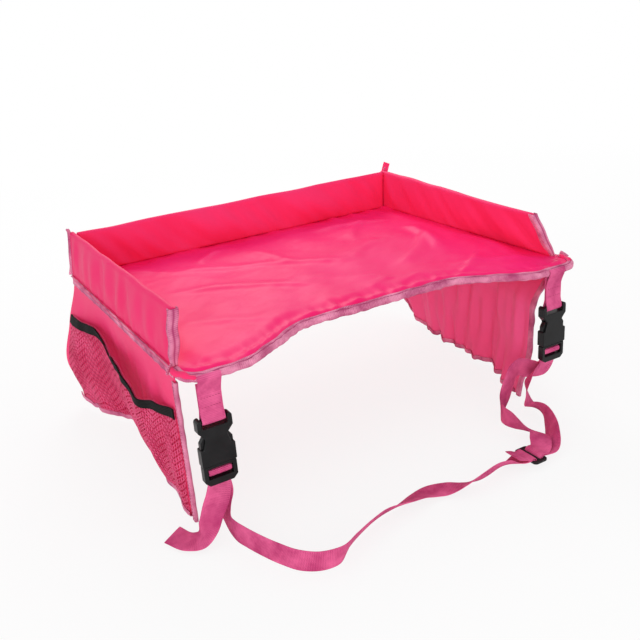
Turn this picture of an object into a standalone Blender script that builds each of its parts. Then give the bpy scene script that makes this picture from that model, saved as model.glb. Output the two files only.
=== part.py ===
"""Car seat tray table: a soft tray with three stiffened walls, a belly cut-out at its open front,
a hanging skirt with a net pocket at each side, and a webbing belt on two side-release buckles.

Metres, +Z up, +X to the tray's right, +Y to the rear wall. The origin is the centre of the base's
underside, which rests on the arms of a child seat. The belt lies as it does on a table, slack.
"""
import math

import bmesh
import bpy
from mathutils import Matrix, Vector

# Tray
TRAY_WIDTH = 0.420
TRAY_DEPTH = 0.305
WALL_HEIGHT = 0.052
LOBE_REACH = 0.030
LOBE_CORNER_RADIUS = 0.020
CUTOUT_DEPTH = 0.0435
CUTOUT_FLAT_HALF_WIDTH = 0.070
CUTOUT_HALF_WIDTH = 0.168

# Stock: cloth, tape, boards and the gap between pieces that touch
GAP = 0.0003
CLOTH = 0.0008
TAPE = 0.0008
BASE_BOARD = 0.0025
WALL_BOARD = 0.0030
BOARD_PLAY = 0.0008
BOARD_MARGIN = 0.006
FLOOR_CROWN = 0.0030
FLOOR_MARGIN = 0.010
REST_MARGIN = 0.012
EDGE_LIFT = 0.00015
FLOOR_RAMP = 0.022

# Lean of the walls' tops towards the tray's middle
LEFT_WALL_LEAN = 0.006
RIGHT_WALL_FRONT_LEAN = 0.020
REAR_WALL_LEAN = 0.004

# Bound edges
TAPE_LEG = 0.007
SEAM_LEG = 0.006
CORNER_FIN = 0.005
CORNER_TAIL = 0.004

# Skirts and their net pockets
SKIRT_DEPTH = 0.137
SKIRT_TIP_DROP = 0.004
LEFT_REAR_RISE = 0.006
RIGHT_REAR_RISE = 0.026
LEFT_REAR_TAPER = 0.012
RIGHT_REAR_TAPER = 0.030
LEFT_REAR_SWAY = 0.010
REAR_ROUND_SHARE = 0.22
TIP_SHARE = 0.20
LEFT_BELLY_SHARE = 0.5
LEFT_HEM_SWAY = 0.018
RIGHT_HEM_SWAY = 0.045
SKIRT_BELLY = 0.009
POCKET_MOUTH_DROP = 0.042
POCKET_SLACK = 0.012
MOUTH_WAVE = 0.016
MOUTH_SLACK = 0.010
NET_CORD = 0.0024
POCKET_PLAY = 0.0005
NET_THICKNESS = 0.0010
ELASTIC_WIDTH = 0.008
ELASTIC_THICKNESS = 0.0010

# Webbing
WEB_WIDTH = 0.020
WEB_THICKNESS = 0.0011
LEFT_TAB_INSET = 0.018
RIGHT_TAB_INSET = 0.033
TAB_LENGTH = 0.030

# Side-release buckle
BUCKLE_WIDTH = 0.030
SOCKET_LENGTH = 0.042
SOCKET_THICKNESS = 0.0088
SOCKET_WALL = 0.0015
EAR_LENGTH = 0.0105
EAR_RADIUS = 0.0025
EAR_RISE = 0.0010
STRAP_BAR = 0.0030
STRAP_BAR_THICKNESS = 0.0036
STRAP_SLOT = 0.0042
SCOOP_HALF_WIDTH = 0.0094
SCOOP_LENGTH = 0.0065
SCOOP_RADIUS = 0.0040
FACE_HALF_WIDTH = 0.0122
COLLAR_LENGTH = 0.0160
CORNER_RADIUS = 0.0012
PLUG_LENGTH = 0.0180
PLUG_WIDTH = 0.0290
PLUG_THICKNESS = 0.0070
PLUG_CHAMFER = 0.0040
PLUG_TOP_BAR = 0.0024
LOCK_BAR_HEIGHT = 0.0030
LOCK_BAR_THICKNESS = 0.0024
LOCK_SLOT = 0.0034
ARM_ROOT = 0.0075
ARM_WIDTH = 0.0022
ARM_THICKNESS = 0.0046
ARM_CATCH = 0.0005
ARM_TIP_LENGTH = 0.0100
GUIDE_WIDTH = 0.0050
GUIDE_LENGTH = 0.0220
SLOT_SIDE_PLAY = 0.0010
PLASTIC_BEVEL = 0.0006

# Tri-glide adjuster
GLIDE_BAR = 0.0026
GLIDE_SLOT = 0.0040
GLIDE_THICKNESS = 0.0020
GLIDE_SIDE = 0.0032
GLIDE_RADIUS = 0.0035
GLIDE_BEVEL = 0.0004

CUT_OVERRUN = 0.002

# Belt's route, chosen by hand. On the table: x, y of the webbing's middle and its roll from flat in
# degrees, turned about its heading. Off the table: x, y, z of its middle and the way of its width.
TABLE_LEVEL = -0.1412
GLIDE_X = 0.0820
GLIDE_Y = -0.2520
END_REACH = 0.022
END_LIFT = 0.004
BELT_STEP = 0.008
TAIL = [
    (-0.2345, -0.1630, -0.1385, -0.90, -0.40, -0.15), (-0.2255, -0.1805, -0.1388, -0.60, -0.78, -0.15),
    (-0.2175, -0.1860, -0.1370, -0.10, -0.98, -0.15), (-0.2100, -0.1850, -0.1290, 0.45, -0.85, -0.15),
    (-0.2035, -0.1830, -0.1175, 0.70, -0.70, 0.00), (-0.1960, -0.1800, -0.1065, 0.95, -0.30, 0.00)]
MAIN_DROP = [
    (-0.1905, -0.1745, -0.1060, 0.85, -0.50, 0.00), (-0.1910, -0.1765, -0.1160, 0.35, -0.93, 0.00),
    (-0.1915, -0.1820, -0.1255, 0.10, -0.80, 0.60), (-0.1925, -0.1905, -0.1300, 0.00, -0.40, 0.90)]
MAIN_RUN = [
    (-0.1925, -0.2010, 90), (-0.1895, -0.2135, 90), (-0.1847, -0.2288, 90), (-0.1770, -0.2481, 90),
    (-0.1682, -0.2640, 88), (-0.1551, -0.2745, 82), (-0.1394, -0.2770, 76), (-0.1217, -0.2665, 62),
    (-0.1021, -0.2570, 56), (-0.0800, -0.2495, 50), (-0.0670, -0.2478, 42), (-0.0560, -0.2464, 32),
    (-0.0400, -0.2425, 18), (-0.0240, -0.2405, 3), (-0.0089, -0.2455, 3), (0.0020, -0.2535, 26),
    (0.0177, -0.2570, 52), (0.0364, -0.2550, 56), (0.0479, -0.2535, 44), (0.0590, -0.2522, 22)]
STRAND_FRONT = [
    (0.1030, -0.2530, 12), (0.1189, -0.2420, 50), (0.1304, -0.2282, 66), (0.1397, -0.2124, 88),
    (0.1455, -0.1970, 128)]
STRAND_FRONT_RISE = [
    (0.1462, -0.1860, -0.1345, -0.93, -0.30, 0.20), (0.1458, -0.1812, -0.1240, -0.75, -0.60, 0.25),
    (0.1476, -0.1790, -0.1120, -0.55, -0.83, 0.15), (0.1545, -0.1775, -0.1045, -0.50, -0.70, 0.50),
    (0.1640, -0.1765, -0.1030, -0.84, -0.30, 0.40), (0.1725, -0.1755, -0.1020, -0.97, 0.00, 0.22)]
STRAND_REAR_RISE = [
    (0.1755, -0.1725, -0.1010, -0.95, 0.05, 0.30), (0.1695, -0.1690, -0.1050, -0.62, 0.05, 0.78),
    (0.1590, -0.1660, -0.1035, -0.15, 0.00, 0.98), (0.1490, -0.1645, -0.0995, -0.05, -0.10, 0.99),
    (0.1410, -0.1650, -0.1030, -0.40, -0.10, 0.90), (0.1340, -0.1670, -0.1115, -0.60, -0.10, 0.78),
    (0.1265, -0.1700, -0.1210, -0.50, 0.00, 0.86), (0.1170, -0.1755, -0.1280, -0.25, 0.00, 0.96)]
STRAND_REAR = [
    (0.1090, -0.1835, 90), (0.1057, -0.1930, 88), (0.1060, -0.2020, 80), (0.1075, -0.2121, 60)]
STRAND_REAR_END = [
    (0.1098, -0.2215, -0.1335, -0.74, 0.06, 0.67), (0.1100, -0.2325, -0.1320, -0.86, 0.25, 0.40),
    (0.1030, -0.2430, -0.1308, -0.45, 0.88, 0.12)]

# Values worked out from the sizes above
HALF_SHARE = 0.5
HALF_WIDTH = TRAY_WIDTH / 2
FRONT_Y = -TRAY_DEPTH / 2
REAR_Y = TRAY_DEPTH / 2
WALL_THICKNESS = WALL_BOARD + 2 * (BOARD_PLAY + CLOTH)
BASE_THICKNESS = 2 * CLOTH + 2 * GAP + BASE_BOARD
WALL_FOOT = BASE_THICKNESS + GAP
FLOOR_EDGE_Z = BASE_THICKNESS - CLOTH / 2
SEAM_RADIUS = CLOTH / 2 + GAP + TAPE
HINGE_X = HALF_WIDTH - SEAM_RADIUS
HINGE_Z = -(GAP + SEAM_RADIUS)
EDGE_RADIUS = BASE_THICKNESS / 2 + GAP + TAPE
TAB_HALF = WEB_THICKNESS + GAP
TAB_Y = FRONT_Y - LOBE_REACH + TAB_HALF
TAB_Z = -(GAP + TAPE + GAP + TAB_HALF)
SOCKET_TOP = TAB_Z - TAB_LENGTH
SOCKET_MOUTH = SOCKET_TOP - SOCKET_LENGTH
SHOULDER = SOCKET_MOUTH - GAP
LOCK_BAR_Z = SHOULDER - PLUG_TOP_BAR - LOCK_SLOT - LOCK_BAR_HEIGHT / 2
COLLAR_TOP = SOCKET_MOUTH + COLLAR_LENGTH
CAVITY_HALF_WIDTH = BUCKLE_WIDTH / 2 - SOCKET_WALL
CAVITY_HALF_DEPTH = SOCKET_THICKNESS / 2 - SOCKET_WALL
SLOT_HALF_WIDTH = WEB_WIDTH / 2 + SLOT_SIDE_PLAY
STRAP_BAR_Z = SOCKET_TOP - EAR_RISE - STRAP_BAR / 2
PLUG_BOTTOM = SHOULDER - PLUG_LENGTH
BUCKLE_X = {"left": LEFT_TAB_INSET - HALF_WIDTH, "right": HALF_WIDTH - RIGHT_TAB_INSET}
WEB_CLEAR = GAP + WEB_THICKNESS / 2
WEB_LAYER = WEB_THICKNESS + GAP
GLIDE_Z = TABLE_LEVEL + GLIDE_THICKNESS / 2 + 2 * (WEB_THICKNESS + GAP) + GAP
GLIDE_PITCH = GLIDE_BAR + GLIDE_SLOT


def clear_scene():
    for item in list(bpy.data.objects):
        bpy.data.objects.remove(item, do_unlink=True)


clear_scene()
parts = bpy.data.collections.new("car_seat_tray_table")
cutters = bpy.data.collections.new("cutters")
bpy.context.scene.collection.children.link(parts)
bpy.context.scene.collection.children.link(cutters)


def finish_material(name, color, roughness, metallic=0.0):
    material = bpy.data.materials.new(name)
    material.use_nodes = True
    shader = material.node_tree.nodes["Principled BSDF"]
    shader.inputs["Base Color"].default_value = (*color, 1.0)
    shader.inputs["Roughness"].default_value = roughness
    shader.inputs["Metallic"].default_value = metallic
    return material


NYLON = ((0.92, 0.07, 0.20), 0.42)
TAPE_PINK = ((0.75, 0.22, 0.36), 0.70)
WEB_PINK = ((0.68, 0.12, 0.27), 0.65)
NET_PINK = ((0.85, 0.12, 0.28), 0.60)
ELASTIC_BLACK = ((0.02, 0.02, 0.02), 0.80)
MOULDED_BLACK = ((0.015, 0.015, 0.015), 0.35)
BOARD_WHITE = ((0.85, 0.85, 0.82), 0.60)


def add_part(name, mesh, look, origin=(0.0, 0.0, 0.0), collection=parts):
    """Link a mesh that is written in world places, with its object's origin at the given point."""
    mesh.transform(Matrix.Translation(-Vector(origin)))
    mesh.name = name
    part = bpy.data.objects.new(name, mesh)
    part.location = origin
    if look:
        mesh.materials.append(finish_material(name, *look))
    collection.objects.link(part)
    return part


def lerp(a, b, t):
    return a + (b - a) * t


def smoothstep(t):
    t = min(1.0, max(0.0, t))
    return t * t * (3 - 2 * t)


def along_table(shares, s):
    """Smooth value between hand-chosen (place share, value share) pairs."""
    for (s0, a), (s1, b) in zip(shares, shares[1:]):
        if s <= s1:
            return lerp(a, b, smoothstep((s - s0) / (s1 - s0)))
    return shares[-1][1]


def sheet(name, cells_u, cells_v, place, thickness, look, origin=(0.0, 0.0, 0.0), openings=None):
    """A grid of cells laid by place(u, v), given thickness about its middle. With openings, each
    cell is inset by that width and its inside removed, which leaves a net."""
    form = bmesh.new()
    bmesh.ops.create_grid(form, x_segments=cells_u, y_segments=cells_v, size=HALF_SHARE)
    for vertex in form.verts:
        vertex.co = place(vertex.co.x + HALF_SHARE, vertex.co.y + HALF_SHARE)
    form.normal_update()
    if openings:
        cells = list(form.faces)
        bmesh.ops.inset_individual(form, faces=cells, thickness=openings, use_even_offset=False)
        bmesh.ops.delete(form, geom=cells, context="FACES")
    mesh = bpy.data.meshes.new(name)
    form.to_mesh(mesh)
    form.free()
    part = add_part(name, mesh, look, origin)
    solid = part.modifiers.new("thickness", "SOLIDIFY")
    solid.thickness = thickness
    solid.offset = 0.0
    solid.use_even_offset = not openings
    mesh.shade_smooth()
    return part


def rounded(corners, steps=4):
    """Outline points from (x, y, radius) corners, each radius drawn as an arc of a few steps."""
    points = []
    count = len(corners)
    for i, (x, y, radius) in enumerate(corners):
        here = Vector((x, y))
        before = (Vector(corners[i - 1][:2]) - here).normalized()
        after = (Vector(corners[(i + 1) % count][:2]) - here).normalized()
        if radius <= 0:
            points.append(here)
            continue
        half_angle = before.angle(after) / 2
        reach = radius / math.tan(half_angle)
        centre = here + (before + after).normalized() * radius / math.sin(half_angle)
        start = here + before * reach - centre
        turn = start.angle_signed(here + after * reach - centre)
        for step in range(steps + 1):
            points.append(centre + Matrix.Rotation(-turn * step / steps, 2) @ start)
    return points


BEVEL_ANGLE = math.radians(50)
FLAT_ANGLE = math.radians(1)


def plate(name, outlines, thickness, look, place, turn, bevel=0.0, origin=None, collection=parts):
    """A flat outline with its holes as a filled 2D curve, extruded, then made a welded mesh."""
    curve = bpy.data.curves.new(name, "CURVE")
    curve.dimensions = "2D"
    curve.fill_mode = "BOTH"
    curve.extrude = thickness / 2
    for outline in outlines:
        spline = curve.splines.new("POLY")
        spline.points.add(len(outline) - 1)
        for point, (x, y) in zip(spline.points, outline):
            point.co = (x, y, 0.0, 1.0)
        spline.use_cyclic_u = True
    drawn = bpy.data.objects.new(name + "_outline", curve)
    bpy.context.scene.collection.objects.link(drawn)
    drawn.matrix_world = Matrix.Translation(place) @ turn.to_4x4()
    bpy.context.view_layer.update()
    mesh = bpy.data.meshes.new_from_object(drawn.evaluated_get(bpy.context.evaluated_depsgraph_get()))
    mesh.transform(drawn.matrix_world)
    bpy.data.objects.remove(drawn, do_unlink=True)
    form = bmesh.new()
    form.from_mesh(mesh)
    bmesh.ops.remove_doubles(form, verts=form.verts, dist=GAP / 100)
    bmesh.ops.recalc_face_normals(form, faces=form.faces)
    bmesh.ops.dissolve_limit(form, angle_limit=FLAT_ANGLE, verts=form.verts, edges=form.edges)
    form.to_mesh(mesh)
    form.free()
    mesh.materials.clear()
    part = add_part(name, mesh, look, origin or place, collection)
    if bevel:
        edge = part.modifiers.new("edges", "BEVEL")
        edge.width = bevel
        edge.segments = 1
        edge.limit_method = "ANGLE"
        edge.angle_limit = BEVEL_ANGLE
    return part


# Plan of the base

def front_edge(x):
    """Y of the base's front edge: two lobes, a shallow belly cut-out and round outer corners."""
    reach = FRONT_Y - LOBE_REACH
    span = CUTOUT_HALF_WIDTH - CUTOUT_FLAT_HALF_WIDTH
    y = reach + CUTOUT_DEPTH * (1 - smoothstep((abs(x) - CUTOUT_FLAT_HALF_WIDTH) / span))
    past = abs(x) - (HALF_WIDTH - LOBE_CORNER_RADIUS)
    if past > 0:
        y += LOBE_CORNER_RADIUS - math.sqrt(max(0.0, LOBE_CORNER_RADIUS ** 2 - past ** 2))
    return y


CORNER_STEPS = 5
MIDDLE_STEPS = 20


def plan_columns():
    """X of the base's grid columns: close together round the corners and even between them."""
    straight = HALF_WIDTH - LOBE_CORNER_RADIUS
    corner = [straight + LOBE_CORNER_RADIUS * math.sin(math.pi / 2 * i / CORNER_STEPS)
              for i in range(1, CORNER_STEPS + 1)]
    middle = [lerp(-straight, straight, i / MIDDLE_STEPS) for i in range(MIDDLE_STEPS + 1)]
    return [-x for x in reversed(corner)] + middle + corner


COLUMNS = plan_columns()
ROW_SHARES = (0.25, 0.5, 0.75)


def plan_rows(x):
    """Y of the base's grid rows at one column: a margin and a ramp at each end, even between."""
    near = front_edge(x)
    first, last = near + FLOOR_MARGIN + FLOOR_RAMP, REAR_Y - FLOOR_MARGIN - FLOOR_RAMP
    middle = [lerp(first, last, share) for share in ROW_SHARES]
    return [near, near + FLOOR_MARGIN, first, *middle, last, REAR_Y - FLOOR_MARGIN, REAR_Y]


FLOOR_ROWS = len(plan_rows(0.0)) - 1
UNDER_STEPS = 2


def floor_height(x, y):
    inward = min(HALF_WIDTH - abs(x), REAR_Y - y, y - front_edge(x))
    return FLOOR_EDGE_Z + FLOOR_CROWN * smoothstep((inward - FLOOR_MARGIN) / FLOOR_RAMP)


def build_base():
    last_column = len(COLUMNS) - 1

    def top_place(u, v):
        x = COLUMNS[round(u * last_column)]
        y = plan_rows(x)[round(v * FLOOR_ROWS)]
        return Vector((x, y, floor_height(x, y)))

    def under_place(u, v):
        """Flat where the tray rests, and drawn up a little at the bound front and side edges."""
        x = COLUMNS[round(u * last_column)]
        near = front_edge(x)
        row = round(v * UNDER_STEPS)
        bound = row == 0 or abs(x) > HALF_WIDTH - TAPE_LEG
        y = (near, near + REST_MARGIN, REAR_Y)[row]
        return Vector((x, y, CLOTH / 2 + (EDGE_LIFT if bound else 0)))

    def board_place(u, v):
        x = COLUMNS[round(u * last_column)]
        y = lerp(front_edge(x) + BOARD_MARGIN, REAR_Y - BOARD_MARGIN, v)
        inset = (HALF_WIDTH - BOARD_MARGIN) / HALF_WIDTH
        return Vector((x * inset, y, CLOTH + GAP + BASE_BOARD / 2))

    sheet("base_top_cover", last_column, FLOOR_ROWS, top_place, CLOTH, NYLON)
    sheet("base_under_cover", last_column, UNDER_STEPS, under_place, CLOTH, NYLON)
    sheet("base_board", last_column, 1, board_place, BASE_BOARD, BOARD_WHITE)


# Walls

def left_wall_x(y, z):
    return -(HALF_WIDTH - WALL_THICKNESS / 2 - LEFT_WALL_LEAN * z / WALL_HEIGHT)


def right_wall_x(y, z):
    forward = smoothstep((REAR_Y - y) / TRAY_DEPTH)
    return HALF_WIDTH - WALL_THICKNESS / 2 - RIGHT_WALL_FRONT_LEAN * forward * z / WALL_HEIGHT


def rear_wall_y(z):
    return REAR_Y - WALL_THICKNESS / 2 - REAR_WALL_LEAN * z / WALL_HEIGHT


def left_wall(t, n, z):
    """Point of the left wall: t from front to rear, n outwards from its middle, z its height."""
    y = lerp(FRONT_Y, REAR_Y, t)
    return Vector((left_wall_x(y, z) - n, y, z))


def right_wall(t, n, z):
    y = lerp(FRONT_Y, REAR_Y, t)
    return Vector((right_wall_x(y, z) + n, y, z))


def rear_wall(t, n, z):
    """Point of the rear wall, which runs between the side walls' inner faces."""
    y = rear_wall_y(z)
    inside = WALL_THICKNESS / 2 + GAP
    return Vector((lerp(left_wall_x(y, z) + inside, right_wall_x(y, z) - inside, t), y + n, z))


ARCH_STEPS = 6


def arch_section(v, radius, foot, crest):
    """Section of a sleeve over an edge: up one leg, round the crest and down the other leg."""
    step = round(v * (ARCH_STEPS + 2))
    if step == 0:
        return radius, foot
    if step == ARCH_STEPS + 2:
        return -radius, foot
    angle = math.pi * (step - 1) / ARCH_STEPS
    return radius * math.cos(angle), crest - radius + radius * math.sin(angle)


WALL_CELLS = 10


def build_walls():
    radius = WALL_THICKNESS / 2 - CLOTH / 2
    crest = WALL_HEIGHT - CLOTH / 2
    board_top = crest - radius
    board_foot = WALL_FOOT + WALL_BOARD / 2
    for side, wall in (("left", left_wall), ("rear", rear_wall), ("right", right_wall)):
        def cover_place(u, v):
            n, z = arch_section(v, radius, WALL_FOOT, crest)
            return wall(u, n, z)

        def board_place(u, v):
            end = BOARD_MARGIN / TRAY_DEPTH
            return wall(lerp(end, 1 - end, u), 0.0, lerp(board_foot, board_top, v))

        sheet(side + "_wall_cover", WALL_CELLS, ARCH_STEPS + 2, cover_place, CLOTH, NYLON)
        sheet(side + "_wall_board", WALL_CELLS, 1, board_place, WALL_BOARD, BOARD_WHITE)


def build_wall_end(side, wall):
    """Tape folded round the front end of a side wall."""
    radius = WALL_THICKNESS / 2 + GAP + TAPE / 2

    def place(u, v):
        n, reach = arch_section(v, radius, -TAPE_LEG, radius)
        z = lerp(WALL_FOOT, WALL_HEIGHT - CLOTH, u)
        return wall(0.0, n, z) - Vector((0.0, reach, 0.0))

    sheet(side + "_wall_end_binding", 4, ARCH_STEPS + 2, place, TAPE, TAPE_PINK)


def build_corner_binding(side, sign, side_x):
    """Bound seam of a rear corner, which points out along the diagonal and ends in a short tail."""
    thickness = 2 * TAPE

    def place(u, v):
        z = lerp(WALL_FOOT, WALL_HEIGHT + CORNER_TAIL, v)
        height = min(z, WALL_HEIGHT)
        corner_x = abs(side_x(REAR_Y, height)) + WALL_THICKNESS / 2
        out = (GAP + u * CORNER_FIN) / math.sqrt(2)
        return Vector((sign * (corner_x + out), REAR_Y + out, z))

    sheet(f"rear_{side}_corner_binding", 1, 4, place, thickness, TAPE_PINK)


# Bound edges of the base

def front_path():
    """Plan of the bound front edge, from one wall end round both lobes to the other."""
    start = FRONT_Y - WALL_THICKNESS / 2 - GAP - TAPE - GAP
    points = [Vector((-HALF_WIDTH, start))]
    points += [Vector((x, front_edge(x))) for x in COLUMNS]
    points.append(Vector((HALF_WIDTH, start)))
    return points


def build_front_binding():
    path = front_path()
    last = len(path) - 1
    radius = EDGE_RADIUS - TAPE / 2
    middle = BASE_THICKNESS / 2

    def outward(i):
        """Mitred direction away from the cloth at one point of the path."""
        back = (path[i] - path[max(i - 1, 0)]) if i else (path[1] - path[0])
        ahead = (path[min(i + 1, last)] - path[i]) if i < last else (path[last] - path[last - 1])
        a = Vector((back.y, -back.x)).normalized()
        b = Vector((ahead.y, -ahead.x)).normalized()
        mitre = (a + b).normalized()
        return mitre / max(HALF_SHARE, mitre.dot(a))

    def place(u, v):
        i = round(u * last)
        h, reach = arch_section(v, radius, -TAPE_LEG, radius)
        spot = path[i] + outward(i) * reach
        return Vector((spot.x, spot.y, middle + h))

    sheet("front_edge_binding", last, ARCH_STEPS + 2, place, TAPE, TAPE_PINK)


# Skirts

REAR_RISE = {"left": LEFT_REAR_RISE, "right": RIGHT_REAR_RISE}
REAR_TAPER = {"left": LEFT_REAR_TAPER, "right": RIGHT_REAR_TAPER}


def fall_depth(side, s):
    """Hem's drop below the hinge: shorter at the rounded rear corner, a little longer in front."""
    rear = max(0.0, 1 - s / REAR_ROUND_SHARE)
    front = max(0.0, 1 - (1 - s) / TIP_SHARE)
    return SKIRT_DEPTH - REAR_RISE[side] * rear ** 2 + SKIRT_TIP_DROP * front


POCKET_COLUMNS = 14
POCKET_ROWS = 5
UPPER_ROWS = 3
POCKET_END_SHARES = (0.03, 0.965)
LEFT_HEM_SHARES = ((0, 0.75), (0.15, 0.3), (0.32, -1.0), (0.56, -0.72), (0.72, -0.25), (0.965, 0.0))
RIGHT_HEM_SHARES = ((0, 0.05), (0.35, -0.25), (0.5, -0.42), (0.72, -0.42), (0.965, -1.0))
LEFT_MOUTH_SHARES = ((0, -0.5), (0.14, -0.69), (0.26, -0.88), (0.36, -0.25), (0.44, 0.06), (0.55, -0.38),
                     (0.63, 0.13), (0.7, 0.88), (0.78, 1.0), (0.88, 0.38), (1, -0.13))
RIGHT_MOUTH_SHARES = ((0, -0.13), (0.3, 0.06), (0.55, -0.13), (0.8, 0.13), (1, -0.13))
REAR_FALL_SHARES = ((0, 0.0), (0.35, 0.2), (0.7, 1.0), (1, 0.4))
FRONT_FALL_SHARES = ((0, 0.0), (0.33, 0.62), (0.62, 0.66), (1, 1.0))


def left_sway(s, v):
    belly = SKIRT_BELLY * (1 - smoothstep(s / LEFT_BELLY_SHARE)) * math.sin(math.pi * v) ** 2
    rear = LEFT_REAR_SWAY * (1 - smoothstep(s / REAR_ROUND_SHARE)) * along_table(REAR_FALL_SHARES, v)
    return LEFT_HEM_SWAY * along_table(LEFT_HEM_SHARES, s) * v + belly + rear


def right_sway(s, v):
    fall = lerp(v, along_table(FRONT_FALL_SHARES, v), min(1.0, s / POCKET_END_SHARES[1]) ** 2)
    return RIGHT_HEM_SWAY * along_table(RIGHT_HEM_SHARES, s) * fall


SWAYS = {"left": (-1, left_sway), "right": (1, right_sway)}
MOUTHS = {"left": LEFT_MOUTH_SHARES, "right": RIGHT_MOUTH_SHARES}


def skirt_point(side, s, v, out=0.0):
    """Point of a skirt: s from rear to front, v from hinge to hem, out away from the tray."""
    sign, sway = SWAYS[side]
    rear = REAR_Y - REAR_TAPER[side] * v * v
    y = lerp(rear, FRONT_Y, s)
    return Vector((sign * (HINGE_X + sway(s, v) + out), y, HINGE_Z - v * fall_depth(side, s)))


def pocket_column(i):
    return lerp(*POCKET_END_SHARES, i / POCKET_COLUMNS)


def skirt_column(i):
    """Column shares: the pocket's own columns between the skirt's two free edges."""
    if i == 0 or i == POCKET_COLUMNS + 2:
        return min(i, 1)
    return pocket_column(i - 1)


def mouth_drop(side, s):
    """Drop of the pocket's mouth below the hinge: its slack elastic hangs in waves."""
    first, last = POCKET_END_SHARES
    return POCKET_MOUTH_DROP + MOUTH_WAVE * along_table(MOUTHS[side], (s - first) / (last - first))


def skirt_row(side, j, s):
    """Row shares: the seam's leg, half way to the pocket's mouth, the mouth and the pocket's rows."""
    depth = fall_depth(side, s)
    mouth = mouth_drop(side, s)
    upper = (0.0, SEAM_LEG, (SEAM_LEG + mouth) / 2, mouth)
    if j <= UPPER_ROWS:
        return upper[j] / depth
    return lerp(mouth / depth, 1.0, (j - UPPER_ROWS) / POCKET_ROWS)


def pocket_out(t, w):
    """Distance of the net from the skirt's middle: slack in its belly and at its loose mouth."""
    seated = CLOTH / 2 + GAP + POCKET_PLAY + NET_THICKNESS / 2
    belly = POCKET_SLACK * math.sin(math.pi * t) * math.sin(math.pi * w)
    mouth = MOUTH_SLACK * (1 - w) ** 2 * math.sin(math.pi * t) ** 2
    return seated + belly + mouth


def pocket_point(side, t, w, out=0.0):
    s = lerp(*POCKET_END_SHARES, t)
    top = mouth_drop(side, s) / fall_depth(side, s)
    return skirt_point(side, s, lerp(top, 1.0, w), pocket_out(t, w) + out)


SLOPE_SHARE = 0.05


def lean_stretch(side, v):
    """Level distance that clears the leaning front edge by one unit square to it."""
    upper = skirt_point(side, 1.0, max(0.0, v - SLOPE_SHARE))
    lower = skirt_point(side, 1.0, min(1.0, v + SLOPE_SHARE))
    return (lower - upper).length / (upper.z - lower.z)


def row_point(side, s, row, out):
    """Point on a row of the skirt. The first row lies just below the seam's binding."""
    spot = skirt_point(side, s, skirt_row(side, row, s), out)
    if row > 1:
        return spot
    below = skirt_point(side, s, skirt_row(side, row + 1, s), out)
    return spot.lerp(below, 2 * GAP / (spot.z - below.z))


def build_skirt(side):
    hinge = (SWAYS[side][0] * HINGE_X, 0.0, HINGE_Z)
    tape_out = CLOTH / 2 + GAP + TAPE / 2
    columns = POCKET_COLUMNS + 2
    rows = UPPER_ROWS + POCKET_ROWS

    def skirt_place(u, v):
        s = skirt_column(round(u * columns))
        return skirt_point(side, s, skirt_row(side, round(v * rows), s))

    def net_place(u, v):
        return pocket_point(side, u, v)

    def elastic_place(u, v):
        """The band lies along the net's first row of cells, a little off it."""
        out = NET_THICKNESS / 2 + 2 * GAP + ELASTIC_THICKNESS / 2
        mouth, below = (pocket_point(side, u, w, out) for w in (0.0, 1 / POCKET_ROWS))
        return mouth.lerp(below, v * ELASTIC_WIDTH / (below - mouth).length)

    def seam_place(u, v):
        s = skirt_column(round(u * columns))
        out, up = arch_section(v, tape_out, -SEAM_LEG, tape_out)
        spot = skirt_point(side, s, max(0.0, -up) / fall_depth(side, s), out)
        return Vector((spot.x, spot.y, HINGE_Z + up))

    def edge_place(u, v):
        out, reach = arch_section(v, tape_out, -TAPE_LEG, tape_out)
        row = 1 + round(u * (rows - 1))
        out *= lean_stretch(side, skirt_row(side, row, 1.0))
        near = row_point(side, 1.0, row, out)
        far = row_point(side, POCKET_END_SHARES[1], row, out)
        spot = near.lerp(far, max(0.0, -reach) / (far.y - near.y))
        spot.y = FRONT_Y - reach
        return spot

    def add(name, cells, place, thickness, look, openings=None):
        sheet(f"{side}_{name}", *cells, place, thickness, look, hinge, openings)

    add("skirt", (columns, rows), skirt_place, CLOTH, NYLON)
    add("mesh_pocket", (POCKET_COLUMNS, POCKET_ROWS), net_place, NET_THICKNESS, NET_PINK, NET_CORD / 2)
    add("pocket_elastic", (POCKET_COLUMNS, 1), elastic_place, ELASTIC_THICKNESS, ELASTIC_BLACK)
    add("seam_binding", (columns, ARCH_STEPS + 2), seam_place, TAPE, TAPE_PINK)
    add("skirt_front_binding", (rows - 1, ARCH_STEPS + 2), edge_place, TAPE, TAPE_PINK)


# Tabs and buckles

UPRIGHT = Matrix.Rotation(math.pi / 2, 3, "X")
SIDEWAYS = Matrix(((0, 0, 1), (1, 0, 0), (0, 1, 0)))


def arc(x, y, radius, first, last, steps):
    """Points of an arc between two angles in degrees."""
    angles = [math.radians(lerp(first, last, i / steps)) for i in range(steps + 1)]
    return [Vector((x + radius * math.cos(a), y + radius * math.sin(a))) for a in angles]


def block(name, low, high, bevel=0.0):
    """A box between two corners, for cuts and joins."""
    form = bmesh.new()
    bmesh.ops.create_cube(form, size=1.0)
    size = Vector(high) - Vector(low)
    middle = (Vector(high) + Vector(low)) / 2
    bmesh.ops.transform(form, matrix=Matrix.Translation(middle) @ Matrix.Diagonal(size.to_4d()),
                        verts=form.verts)
    mesh = bpy.data.meshes.new(name)
    form.to_mesh(mesh)
    form.free()
    box = add_part(name, mesh, None, collection=cutters)
    if bevel:
        edge = box.modifiers.new("edges", "BEVEL")
        edge.width = bevel
        edge.segments = 1
    return box


TAB_BAR_RADIUS = STRAP_BAR_THICKNESS / 2 + 2 * GAP
TAB_LOOP_RADIUS = TAB_BAR_RADIUS + WEB_THICKNESS
LOOP_NECK_SHARE = 2.3
LOOP_APEX_SHARE = 1.75


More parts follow.
